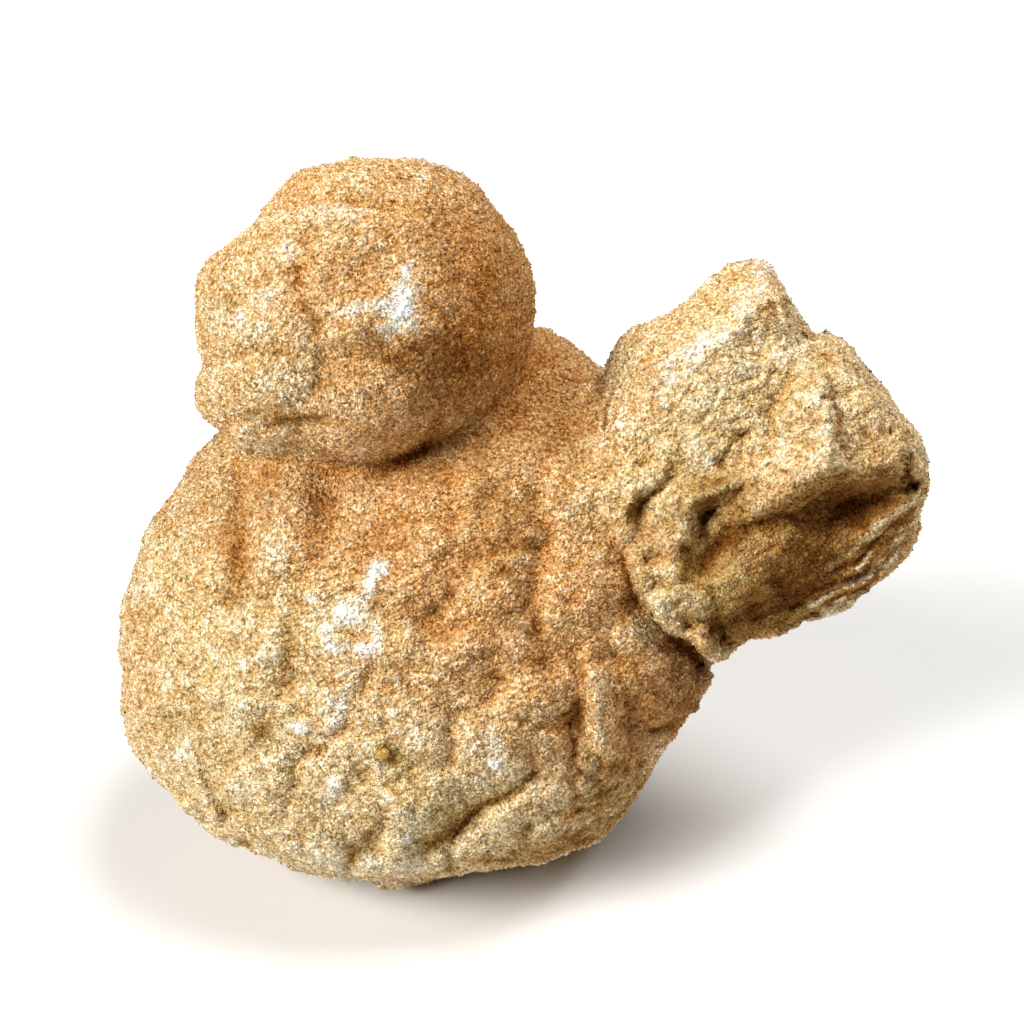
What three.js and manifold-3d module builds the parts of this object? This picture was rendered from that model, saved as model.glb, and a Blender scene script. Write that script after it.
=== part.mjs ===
// Stromatolite, a sandy concretion-like fossil mound: one solid piece of cemented sand
// grown as a broad dome, a round knob on top of it and an angular, layered knob that
// overhangs on the right. It rests on one small flat spot under its centre of mass.
// Millimetres, +Z up, -Y towards the front; the origin is the middle of the flat spot.
import * as THREE from "three";
import { mergeVertices } from "three/addons/utils/BufferGeometryUtils.js";
import Module from "manifold-3d";

// ---- driving dimensions -------------------------------------------------------------
const VIEW_DISTANCE = 252.6;  // the outlines are drawn as seen from this far, in perspective
const VIEW_LEAN = 30;         // degrees that the drawing sheet leans back from upright
const SEAT_LEVEL = -51.1;     // height of the flat spot, from the middle of the sheet
const SEAT_MIDDLE = [-9.8, -6.7]; // the flat spot's middle from the sheet's middle: right, back
const RELIEF_FADE = [-0.15, 0.35]; // where the drawn relief fades out round the side
const FACET_BLEND = 2.4;      // rounding where two facets of the layered knob meet
const FOOT = { centre: [-3, -34], depth: -10.4, radii: [20.4, 15.4, 17.8] }; // low swelling at the right of the base

// Each lobe is drawn as its outline on the sheet, [right, up] from the sheet's middle.
// centre is the point the outline is measured from, depth how far that point stands
// before the sheet (+) or behind it (-); front and back are the lobe's half depths, and
// fullness its section from an ellipse (2) towards a box.
const LOBES = {
  body: { // the broad dome that carries the others
    centre: [-13.6, -17.2], depth: 0, front: 30.3, back: 34.8, fullness: 2.15, waves: 26, fit: 0.975, detail: 14,
    outline: [
    [-43.7, 12.1], [-45.3, 10.5], [-47.1, 9], [-48.4, 7.3], [-49, 5.3], [-49.6, 3.3], [-51.4, 1.8], [-53, 0.3], [-54, -1.5], [-54.2, -3.6],
    [-55.1, -5.6], [-56.1, -7.5], [-56.4, -9.8], [-57.4, -11.7], [-57.9, -13.9], [-57.9, -16.3], [-57.9, -18.5], [-57.6, -20.7], [-57.3, -22.8], [-57.3, -25],
    [-57.3, -27.2], [-57.3, -29.5], [-57.1, -31.8], [-56.5, -33.6], [-55.4, -35.5], [-53.9, -37], [-52.4, -38.5], [-50.9, -40.1], [-49.9, -42], [-48.5, -43.8],
    [-46.9, -45.1], [-45.1, -46.5], [-43.5, -47.8], [-41.7, -49.1], [-39.7, -49.6], [-37.6, -50.2], [-35.5, -51.2], [-33.6, -51.9], [-31.4, -52.2], [-29.3, -52.5],
    [-27.5, -53.6], [-25.3, -53.9], [-23.2, -54.2], [-21.2, -54.6], [-18.9, -54.8], [-16.7, -54.5], [-14.5, -54], [-12.3, -54], [-10.1, -54.2], [-7.8, -53.9],
    [-5.9, -53.3], [-3.8, -52.7], [-1.8, -51.9], [0.6, -51.8], [2.8, -51.7], [4.9, -51.2], [6.8, -50.9], [8.9, -50], [10.8, -49], [12.9, -48.1],
    [14.5, -46.8], [15.7, -45], [17.2, -43.2], [18.2, -41.4], [19.5, -39.5], [20.9, -37.6], [22.3, -36], [23.4, -34.2], [24.7, -32.4], [26.5, -30.9],
    [27.4, -29], [28.4, -27.1], [29.5, -25], [30.2, -23.1], [30.6, -20.4], [30.5, -16], [29.6, -10.1], [27.8, -3.4], [24.9, 3.3], [20.7, 9.2],
    [15.2, 13.9], [8.6, 17], [1.2, 18.8], [-7.7, 19.8], [-16.6, 20.3], [-25.5, 19.7], [-33.6, 18.1], [-39.5, 15.4],
    ],
  },
  shoulder: { // the saddle between dome, head and slab, set back
    centre: [1.2, 6.2], depth: -6.7, front: 22.2, back: 22.2, fullness: 2.1, waves: 10, fit: 0.978, detail: 6,
    outline: [
    [2.8, 27.7], [6.1, 25.9], [9.8, 23.7], [13.3, 21], [16.7, 18.1], [20.4, 12.9], [22.6, 6.2], [23.1, -1.2], [21.2, -8.6], [16.7, -14.5],
    [10.1, -18.2], [2.7, -19.7], [-4.7, -18.2], [-11.4, -14.5], [-16.6, -8.6], [-19.2, -1.2], [-19.5, 6.2], [-18.1, 13.6], [-15.1, 20.3], [-10.7, 25.5],
    [-5.5, 28], [-1, 28.7],
    ],
  },
  head: { // the round knob on top
    centre: [-21.8, 28.7], depth: 17.5, front: 20.7, back: 22.2, fullness: 2.1, waves: 26, fit: 0.974, detail: 9,
    outline: [
    [-44, 12], [-45.3, 13.5], [-46.6, 15.1], [-46.9, 17.3], [-45.6, 19.2], [-45.1, 21.2], [-45.6, 23.1], [-46.6, 25.2], [-46.8, 27.4], [-46.8, 29.5],
    [-46.9, 31.7], [-46.5, 33.7], [-45.6, 35.7], [-44.3, 37.4], [-42.3, 38.5], [-40.3, 39.5], [-38.6, 40.3], [-37.1, 41.9], [-36.1, 44.1], [-35.2, 46.2],
    [-34.2, 48.1], [-32.6, 49.6], [-30.6, 50.8], [-28.6, 51.5], [-26.3, 51.7], [-24.1, 51.9], [-21.9, 51.9], [-19.7, 52.1], [-17.3, 52.1], [-15.1, 52.1],
    [-12.7, 52.1], [-10.7, 51.4], [-8.6, 50.6], [-6.8, 49.6], [-5, 48.1], [-3.4, 46.8], [-2.2, 44.8], [-0.9, 43.2], [0.3, 41.3], [1.3, 39.5],
    [2.2, 37.4], [2.8, 35.5], [3, 33.2], [3, 31.1], [3, 28.7], [2.7, 25.8], [1.8, 22.8], [0.4, 20], [-1.5, 17.2], [-3.8, 14.5],
    [-6.8, 12], [-10.1, 9.8], [-13.6, 7.8], [-17.3, 6.2], [-21, 5.3], [-24.7, 5.8], [-28.4, 7.1], [-32.1, 7.7], [-36.6, 7.7], [-40, 9.5],
    [-42.3, 11],
    ],
  },
  rock: { // the angular layered knob that overhangs on the right
    centre: [34, 7], depth: 10.4, front: 18.5, back: 20, fullness: 2.5, waves: 30, fit: 0.988, detail: 12,
    outline: [
    [13.9, 22.2], [14.2, 23.7], [14.8, 25], [16.3, 26.3], [18.1, 27.2], [20.1, 28.3], [22.2, 28.7], [24, 29.9], [25.8, 31.1], [27.1, 32.7],
    [28.7, 34.2], [30.3, 35.7], [32.3, 36.7], [34.5, 37], [36.6, 37.4], [38.3, 37], [39.7, 34.8], [40.7, 32.9], [41.7, 30.9], [42.9, 29.2],
    [43.7, 26.8], [45.3, 26.3], [47.4, 26.2], [49.3, 25.2], [50.9, 23.5], [51.9, 21.9], [53, 20], [54.6, 18.4], [55.8, 16.7], [57, 14.9],
    [58.6, 13.2], [60.1, 11.5], [61, 9.5], [61.6, 7.5], [61.7, 5.3], [61.4, 3.3], [61.4, 0.9], [61.3, -1.5], [60.8, -3.6], [59.8, -5.8],
    [58.8, -7.5], [57, -9], [55.4, -10.5], [53.6, -12], [51.8, -13.3], [49.7, -14.7], [47.4, -15.4], [45.1, -15.2], [42.9, -15.5], [41.3, -17],
    [39.5, -18.1], [37.4, -19.1], [35.2, -19.5], [33.6, -20.4], [32.4, -21.9], [29.9, -22.9], [28.3, -20.7], [26.9, -19.1], [24.9, -18.5], [22.5, -17.2],
    [20.4, -14.8], [18.4, -12.1], [15.2, -10.1], [11.5, -7.8], [8.3, -4.9], [5.9, -1.2], [5.2, 2.2], [6.5, 5.5], [9, 8.9], [11, 12.4],
    [12.3, 16.3], [13.2, 19.5],
    ],
  },
};

// Relief of the drawn side: ridges (+) and grooves (-) along a path, knobs (+) and
// hollows (-) at a point. width, size and height in millimetres, turn in degrees.
const RELIEF = {
  body: [
    { path: [[-39.8, 6.2], [-38.5, -2.7], [-39.4, -8.9], [-37, -13]], width: 2.1, height: -1.14 },
    { at: [-32.9, -2.4], size: [3.6, 6.8], turn: 0, height: 1.33 },
    { at: [-25.5, 1.8], size: [3.3, 5.9], turn: 0, height: -1.33 },
    { at: [-44.7, -7.1], size: [2.7, 6.5], turn: -15, height: 0.74 },
    { at: [-36.1, -19.7], size: [4, 4.7], turn: 0, height: 1.33 },
    { path: [[-31.4, -13.3], [-26.9, -13.6], [-22.5, -13.9]], width: 2.1, height: -0.5 },
    { at: [-18.1, -11.8], size: [4.1, 2.4], turn: 0, height: 0.89 },
    { path: [[-26.9, -21.2], [-18.1, -21.2], [-14.8, -18.9]], width: 2.1, height: 0.75 },
    { at: [-10.7, -16.3], size: [3.3, 3.6], turn: 0, height: -1.48 },
    { at: [-11.8, -4.1], size: [5.6, 4.7], turn: 0, height: 1.04 },
    { path: [[-6.2, 3.3], [-1.8, -4.1], [-0.6, -7.4]], width: 2.7, height: 1.92 },
    { path: [[-2.1, -12.7], [-1, -17.8], [1.8, -21.6]], width: 2.1, height: 1.85 },
    { path: [[3.4, 1.8], [5.3, -4.1], [5, -8.9], [3, -11.8], [4.4, -17.8], [6.5, -22.5]], width: 2.1, height: -2.33 },
    { at: [12.6, -12.7], size: [4.4, 4.4], turn: 0, height: 2.07 },
    { at: [9.5, -22.2], size: [2.1, 2.1], turn: 0, height: -1.18 },
    { at: [9.3, -31.7], size: [2.7, 4.4], turn: 0, height: -2.22 },
    { path: [[13.2, -24.3], [13.9, -28.6], [14.5, -33], [15.7, -37.4]], width: 2.1, height: 2.13 },
    { at: [18.9, -26.3], size: [4.4, 2.7], turn: 0, height: 1.63 },
    { at: [21.2, -20.1], size: [3, 3.3], turn: 0, height: 1.33 },
    { at: [-1.2, -24.3], size: [1.9, 1.9], turn: 0, height: -1.09 },
    { at: [-8, -22.2], size: [3.6, 2.4], turn: 0, height: 0.89 },
    { at: [3.7, -29.9], size: [3.6, 3.6], turn: 0, height: 1.18 },
    { at: [-0.3, -37], size: [3, 5], turn: 0, height: 1.18 },
    { path: [[-8.9, -50], [-6.5, -46.5], [-4.4, -43.5], [0, -41.9], [2.4, -39.1]], width: 2.1, height: -1.38 },
    { at: [-14.2, -44.4], size: [4.1, 3.6], turn: 0, height: 1.33 },
    { at: [6.8, -42], size: [3, 2.2], turn: 0, height: 1.18 },
    { at: [7.4, -46.8], size: [2.7, 1.9], turn: 0, height: 1.18 },
    { at: [0, -47.1], size: [2.7, 2.1], turn: 0, height: 0.74 },
    { at: [-18.8, -25.8], size: [3.6, 1.9], turn: 0, height: -0.89 },
    { path: [[-9.8, -27.8], [-8.9, -32.3], [-9.2, -37.4]], width: 2.1, height: -0.79 },
    { path: [[-29.9, -32.3], [-19.5, -34.6], [-11.8, -34.5]], width: 2.1, height: 0.79 },
    { at: [-30.5, -37.6], size: [2.2, 2.8], turn: 0, height: -0.89 },
    { path: [[-36.1, -30], [-36.1, -34.5], [-40.3, -36.3]], width: 2.1, height: -0.66 },
    { at: [-40.3, -28.4], size: [3.7, 2.7], turn: 0, height: 0.74 },
    { at: [-50.6, -26.3], size: [3, 3.3], turn: 0, height: 0.59 },
    { at: [-52.4, -20.1], size: [2.4, 3.3], turn: 0, height: -0.59 },
    { at: [-36.6, -41.4], size: [4.7, 2.2], turn: 0, height: 0.89 },
    { at: [-25.5, -49.4], size: [2.7, 1.9], turn: 0, height: 0.71 },
    { at: [-19.5, -49.3], size: [1.9, 2.7], turn: 0, height: -0.82 },
    { at: [-41.4, -45.6], size: [2.4, 1.9], turn: 0, height: -0.57 },
    { at: [-31.4, -23.7], size: [2.4, 3], turn: 0, height: -0.74 },
    { at: [14.5, -16], size: [2.4, 2.7], turn: 0, height: -0.59 },
  ],
  head: [
    { path: [[-37.6, 43.4], [-31.4, 45.4], [-25.5, 46.3], [-17.8, 45.1], [-12.1, 44.1], [-6.5, 42.6]], width: 2.1, height: -0.83 },
    { path: [[-9.9, 42.9], [-5.5, 38], [-3.3, 32.6], [0.6, 27.7]], width: 2.2, height: -1.04 },
    { path: [[-15.4, 42.5], [-13.2, 35.8], [-12.1, 28.7], [-13, 24.7]], width: 2.8, height: 1.63 },
    { at: [-12.9, 26.3], size: [5, 3.3], turn: 0, height: 1.04 },
    { at: [-22.5, 36.1], size: [4.7, 3.3], turn: 30, height: -1.18 },
    { at: [-23.2, 26.6], size: [3.3, 1.9], turn: 0, height: 0.89 },
    { path: [[-30.2, 41.4], [-31.7, 34], [-29.3, 28.4], [-28.1, 22.5], [-28.4, 15.8], [-27.5, 10.7]], width: 2.1, height: -0.83 },
    { at: [-34.3, 33.6], size: [3.6, 6.8], turn: 0, height: 0.59 },
    { path: [[-44, 22.5], [-37, 23.8], [-29.6, 24.1]], width: 2.1, height: -0.67 },
    { at: [-35.1, 16.6], size: [5.3, 2.4], turn: 0, height: 0.89 },
    { path: [[-39.4, 13.8], [-34.3, 13.2], [-28.7, 13]], width: 2.1, height: -0.63 },
    { at: [-25.8, 21.6], size: [3, 2.7], turn: 0, height: -0.74 },
    { at: [-18.8, 12.1], size: [6.2, 4.4], turn: 20, height: 1.33 },
    { at: [-14.8, 16.9], size: [4.1, 3.3], turn: 0, height: 0.89 },
    { at: [-40.3, 10.7], size: [3.6, 2.1], turn: 0, height: 0.59 },
    { at: [-18.8, 23.7], size: [3.3, 2.1], turn: 0, height: -1.04 },
  ],
  rock: [
    { path: [[38.2, 0.6], [42.6, 3.6], [47.4, 6.5], [52.2, 6.2], [58.2, 7.4]], width: 2.1, height: 2.52 },
    { at: [47.4, 7.4], size: [4.4, 3], turn: 0, height: 0.89 },
    { path: [[27.8, -10.7], [30.5, -7.4], [34, -4.4], [39.1, -2.4]], width: 2.1, height: -3.26 },
    { path: [[43.5, -5.3], [50, -3.4], [55.9, 0.6], [60.1, 3.6]], width: 2.5, height: -3.26 },
    { path: [[24.3, -15.4], [30.8, -14.8], [34.9, -11.5], [37.4, -7.4]], width: 2.1, height: 2.14 },
    { at: [26.3, 1.8], size: [2.4, 3.8], turn: 0, height: 1.78 },
    { at: [18.9, 0], size: [2.4, 2.7], turn: 0, height: -1.18 },
    { path: [[7.1, 1.8], [13, 1.5], [17.8, 2.1]], width: 2.1, height: 1.18 },
    { path: [[17.8, -8], [18.9, -11.8], [21.3, -15.7]], width: 2.1, height: -1.54 },
    { at: [11.8, 4.7], size: [5.9, 3.6], turn: 0, height: 0.89 },
    { at: [35.2, 10.4], size: [2.1, 1.9], turn: 0, height: -0.91 },
    { at: [38.5, 19.8], size: [3.8, 3.8], turn: 0, height: -0.89 },
    { path: [[34, 31.1], [39.1, 31.1], [40.8, 29.6]], width: 2.1, height: 1.18 },
    { at: [37.4, 26.6], size: [2.7, 1.9], turn: 0, height: -0.85 },
    { path: [[48, 21.8], [50, 16.6], [54.5, 14.8], [57.4, 12.1]], width: 2.1, height: -0.96 },
    { path: [[26.3, 23.7], [23.7, 18.8], [24.9, 13.6], [27.8, 7.7]], width: 2.1, height: 0.69 },
    { path: [[48.2, -13.3], [54.5, -8.9], [58.2, -4.9]], width: 2.1, height: 0.67 },
    { at: [48.5, -9.3], size: [4.4, 2.1], turn: 30, height: -1.18 },
  ],
};

// Broken faces of the layered knob: outward direction (right, up, forward on the sheet)
// and distance from the knob's centre.
const FACETS = [
  { normal: [-0.22, 0.42, 0.88], distance: 18.1 },
  { normal: [0.62, 0.3, 0.72], distance: 16.6 },
  { normal: [0.5, -0.45, 0.74], distance: 15.4 },
  { normal: [-0.62, -0.25, 0.74], distance: 17.2 },
  { normal: [-0.6, 0.62, 0.5], distance: 17.5 },
  { normal: [-0.05, -0.85, 0.52], distance: 17.5 },
  { normal: [0.55, 0.3, -0.78], distance: 15.7 },
  { normal: [-0.3, 0.66, -0.69], distance: 16.6 },
  { normal: [0.2, -0.58, -0.79], distance: 16 },
  { normal: [0.86, -0.1, -0.5], distance: 22.2 },
  { normal: [0.1, 0.88, -0.46], distance: 18.9 },
];

// Knobs spread over the sides that carry no drawn relief: how many, radius, height.
const KNOBS = {
  body: { count: 120, radius: 6.96, height: 1.92, seed: 1 },
  shoulder: { count: 30, radius: 5.92, height: 1.18, seed: 4 },
  head: { count: 50, radius: 5.33, height: 1.33, seed: 2 },
  rock: { count: 36, radius: 5.03, height: 1.18, seed: 3 },
};

// ---- outline to radius --------------------------------------------------------------
// The outline becomes a Fourier series of radius against angle, so that its small waves
// die away towards the front and back of the lobe, as they do on a real rounded lobe.
function outlineSeries(lobe) {
  const scale = (VIEW_DISTANCE - lobe.depth) / VIEW_DISTANCE;
  const [cu, cv] = lobe.centre;
  const points = lobe.outline.map(([u, v]) => [(u - cu) * lobe.fit * scale, (v - cv) * lobe.fit * scale]);
  const samples = 360;
  const cos = new Array(lobe.waves + 1).fill(0);
  const sin = new Array(lobe.waves + 1).fill(0);
  for (let i = 0; i < samples; i++) {
    const angle = ((i + 0.5) * 2 * Math.PI) / samples - Math.PI;
    const dx = Math.cos(angle);
    const dy = Math.sin(angle);
    let radius = 0;
    for (let j = 0; j < points.length; j++) {
      const [x1, y1] = points[j];
      const [x2, y2] = points[(j + 1) % points.length];
      const den = dx * (y2 - y1) - dy * (x2 - x1);
      if (Math.abs(den) < 1e-12) continue;
      const along = (x1 * (y2 - y1) - y1 * (x2 - x1)) / den;
      const across = (x1 * dy - y1 * dx) / den;
      if (along > 0 && across >= -1e-9 && across <= 1 + 1e-9) radius = Math.max(radius, along);
    }
    for (let k = 0; k <= lobe.waves; k++) {
      cos[k] += (radius * Math.cos(k * angle) * (k ? 2 : 1)) / samples;
      sin[k] += (radius * Math.sin(k * angle) * (k ? 2 : 1)) / samples;
    }
  }
  for (let k = 0; k <= lobe.waves; k++) {
    const taper = Math.min(1, (lobe.waves + 1 - k) / (0.3 * lobe.waves));
    cos[k] *= taper;
    sin[k] *= taper;
  }
  return { cos, sin, origin: new THREE.Vector3(cu * scale, cv * scale, lobe.depth) };
}

function lobeRadius(lobe, series, dir) {
  const flat = Math.hypot(dir.x, dir.y);
  const ex = flat > 1e-9 ? dir.x / flat : 1;
  const ey = flat > 1e-9 ? dir.y / flat : 0;
  let re = flat * ex;
  let im = flat * ey;
  let radius = series.cos[0];
  for (let k = 1; k <= lobe.waves; k++) {
    radius += series.cos[k] * re + series.sin[k] * im;
    [re, im] = [(re * ex - im * ey) * flat, (re * ey + im * ex) * flat];
  }
  const half = dir.z > 0 ? lobe.front : lobe.back;
  const p = lobe.fullness;
  return (Math.pow(flat / Math.max(radius, 0.1), p) + Math.pow(Math.abs(dir.z) / half, p)) ** (-1 / p);
}

// ---- relief -------------------------------------------------------------------------
const smoothstep = (a, b, x) => {
  const t = Math.min(1, Math.max(0, (x - a) / (b - a)));
  return t * t * (3 - 2 * t);
};
const smoothMin = (a, b, k) => {
  const h = Math.max(k - Math.abs(a - b), 0) / k;
  return Math.min(a, b) - h * h * k * 0.25;
};

function distanceToPath(u, v, path) {
  let best = Infinity;
  for (let i = 0; i + 1 < path.length; i++) {
    const [ax, ay] = path[i];
    const bx = path[i + 1][0] - ax;
    const by = path[i + 1][1] - ay;
    const t = Math.min(1, Math.max(0, ((u - ax) * bx + (v - ay) * by) / (bx * bx + by * by)));
    best = Math.min(best, Math.hypot(u - ax - t * bx, v - ay - t * by));
  }
  return best;
}

function drawnRelief(name, point) {
  const scale = VIEW_DISTANCE / (VIEW_DISTANCE - point.z);
  const u = point.x * scale;
  const v = point.y * scale;
  let height = 0;
  for (const item of RELIEF[name] ?? []) {
    if (item.path) {
      height += item.height * Math.exp(-((distanceToPath(u, v, item.path) / item.width) ** 2));
    } else {
      const turn = THREE.MathUtils.degToRad(item.turn);
      const du = u - item.at[0];
      const dv = v - item.at[1];
      const a = (du * Math.cos(turn) + dv * Math.sin(turn)) / item.size[0];
      const b = (-du * Math.sin(turn) + dv * Math.cos(turn)) / item.size[1];
      height += item.height * Math.exp(-(a * a + b * b));
    }
  }
  return height;
}

function spreadKnobs({ count, radius, height, seed }) {
  const chance = (i, k) => {
    const s = Math.sin((i + 1) * 12.9898 * k + seed * 78.233) * 43758.5453;
    return s - Math.floor(s);
  };
  const knobs = [];
  for (let i = 0; i < count; i++) {
    const turn = i * 2.399963 + (chance(i, 1) - 0.5) * 0.9;
    const z = Math.min(1, Math.max(-1, 1 - (2 * (i + 0.5)) / count + (chance(i, 2) - 0.5) / Math.sqrt(count)));
    const r = Math.sqrt(1 - z * z);
    knobs.push({
      dir: new THREE.Vector3(r * Math.cos(turn), r * Math.sin(turn), z),
      radius: radius * (0.75 + 0.6 * chance(i, 3)),
      height: height * (0.5 + 0.9 * chance(i, 5)),
    });
  }
  return knobs;
}

// ---- one lobe as a displaced sphere ---------------------------------------------------
function lobeGeometry(name) {
  const lobe = LOBES[name];
  const series = outlineSeries(lobe);
  const knobs = spreadKnobs(KNOBS[name]);
  const meanKnob = (0.45 * knobs.reduce((sum, knob) => sum + knob.height, 0)) / knobs.length;
  const geometry = new THREE.IcosahedronGeometry(1, lobe.detail);
  const position = geometry.attributes.position;
  const dir = new THREE.Vector3();
  const point = new THREE.Vector3();
  const normal = new THREE.Vector3();
  for (let i = 0; i < position.count; i++) {
    dir.fromBufferAttribute(position, i).normalize();
    const plain = lobeRadius(lobe, series, dir);
    let radius = plain;
    if (name === "rock") {
      for (const facet of FACETS) {
        const facing = dir.dot(normal.set(...facet.normal).normalize());
        if (facing > 0.05) radius = smoothMin(radius, facet.distance / facing, FACET_BLEND);
      }
      radius = plain + (radius - plain) * smoothstep(0.03, 0.38, Math.abs(dir.z));
    }
    point.copy(series.origin).addScaledVector(dir, radius);
    const drawn = smoothstep(RELIEF_FADE[0], RELIEF_FADE[0] + RELIEF_FADE[1], dir.z);
    let knob = 0;
    for (const one of knobs) {
      const arc = Math.acos(Math.min(1, Math.max(-1, dir.dot(one.dir)))) * series.cos[0];
      knob = Math.max(knob, one.height * Math.exp(-((arc / one.radius) ** 2)));
    }
    radius += drawnRelief(name, point) * drawn + (knob - meanKnob) * (1 - drawn);
    point.copy(series.origin).addScaledVector(dir, radius);
    position.setXYZ(i, point.x, point.y, point.z);
  }
  return geometry;
}

// From the leaning sheet (right, up, forward) to the object's own frame.
const lean = THREE.MathUtils.degToRad(VIEW_LEAN);
const toObject = new THREE.Matrix4().set(
  1, 0, 0, -SEAT_MIDDLE[0],
  0, Math.sin(lean), -Math.cos(lean), -SEAT_MIDDLE[1],
  0, Math.cos(lean), Math.sin(lean), -SEAT_LEVEL,
  0, 0, 0, 1,
);

// ---- joining --------------------------------------------------------------------------
const wasm = await Module();
wasm.setup();

function solidOf(geometry) {
  const plain = geometry.clone();
  plain.deleteAttribute("normal");
  plain.deleteAttribute("uv");
  const merged = mergeVertices(plain, 1e-5);
  return new wasm.Manifold(new wasm.Mesh({
    numProp: 3,
    vertProperties: new Float32Array(merged.attributes.position.array),
    triVerts: new Uint32Array(merged.index.array),
  }));
}

function geometryOf(solid) {
  const mesh = solid.getMesh();
  const geometry = new THREE.BufferGeometry();
  const positions = new Float32Array(mesh.numVert * 3);
  for (let i = 0; i < mesh.numVert; i++) {
    for (let j = 0; j < 3; j++) positions[i * 3 + j] = mesh.vertProperties[i * mesh.numProp + j];
  }
  geometry.setAttribute("position", new THREE.BufferAttribute(positions, 3));
  geometry.setIndex(new THREE.BufferAttribute(new Uint32Array(mesh.triVerts), 1));
  geometry.computeVertexNormals();
  return geometry;
}

const footGeometry = new THREE.IcosahedronGeometry(1, 5);
const footScale = (VIEW_DISTANCE - FOOT.depth) / VIEW_DISTANCE;
footGeometry.scale(...FOOT.radii);
footGeometry.translate(FOOT.centre[0] * footScale, FOOT.centre[1] * footScale, FOOT.depth);

let stone = solidOf(lobeGeometry("body").applyMatrix4(toObject));
for (const geometry of [footGeometry, lobeGeometry("shoulder"), lobeGeometry("head"), lobeGeometry("rock")]) {
  stone = stone.add(solidOf(geometry.applyMatrix4(toObject)));
}

// The flat spot that it rests on: everything below the seat level is cut away.
const below = new THREE.BoxGeometry(200, 200, 40);
below.translate(0, 0, -20);
stone = stone.subtract(solidOf(below));

const sandstone = new THREE.MeshStandardMaterial({ name: "sandstone", color: 0xd9a868, roughness: 0.95, metalness: 0 });
const stromatolite = new THREE.Mesh(geometryOf(stone), sandstone);
stromatolite.name = "stromatolite";

const part = new THREE.Group();
part.name = "stromatolite_part";
part.add(stromatolite);

export default part;
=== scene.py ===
import math
import time
import bpy
import numpy as np
from mathutils import Matrix, Vector
from mathutils.geometry import delaunay_2d_cdt


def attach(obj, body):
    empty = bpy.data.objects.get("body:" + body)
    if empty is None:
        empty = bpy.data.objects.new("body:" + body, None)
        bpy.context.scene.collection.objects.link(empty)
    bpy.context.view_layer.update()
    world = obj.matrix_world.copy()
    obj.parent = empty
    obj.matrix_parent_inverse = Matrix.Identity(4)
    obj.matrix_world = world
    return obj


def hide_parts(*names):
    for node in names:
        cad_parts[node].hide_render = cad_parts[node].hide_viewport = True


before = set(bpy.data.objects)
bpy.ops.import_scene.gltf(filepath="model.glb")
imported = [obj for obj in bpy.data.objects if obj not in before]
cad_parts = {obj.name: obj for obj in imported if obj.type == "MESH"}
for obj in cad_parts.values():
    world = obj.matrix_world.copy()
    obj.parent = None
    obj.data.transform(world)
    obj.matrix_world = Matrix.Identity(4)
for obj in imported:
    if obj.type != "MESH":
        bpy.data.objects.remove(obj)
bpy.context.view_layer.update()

# The looks of the stromatolite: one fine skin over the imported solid, a coat of sand
# grains on it, and the one amber grain set into it. The shape is worked out in px of
# the 1024 x 1024 view, in the camera's own frame (right, up, towards the camera), with
# 0.148 mm to the px, and is turned into the part's frame at the end.
CLOCK = time.time()


def say(*words):
    print("[%5.1f s]" % (time.time() - CLOCK), *words, flush=True)


PX = 0.148e-3                   # metres to a px at the reference plane
VIEW_PX = 1024 * 60 / 36        # the camera's distance in px (60 mm lens, 36 mm sensor)
LEAN = math.radians(30)         # the camera looks down by this much
SEAT_MIDDLE = (-9.8e-3, -6.7e-3)
STEP = 2.7                      # px, the skin's grid
SKIN_TRIS = 197000
GRAINS = 64000                  # in each of the four coats

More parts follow.
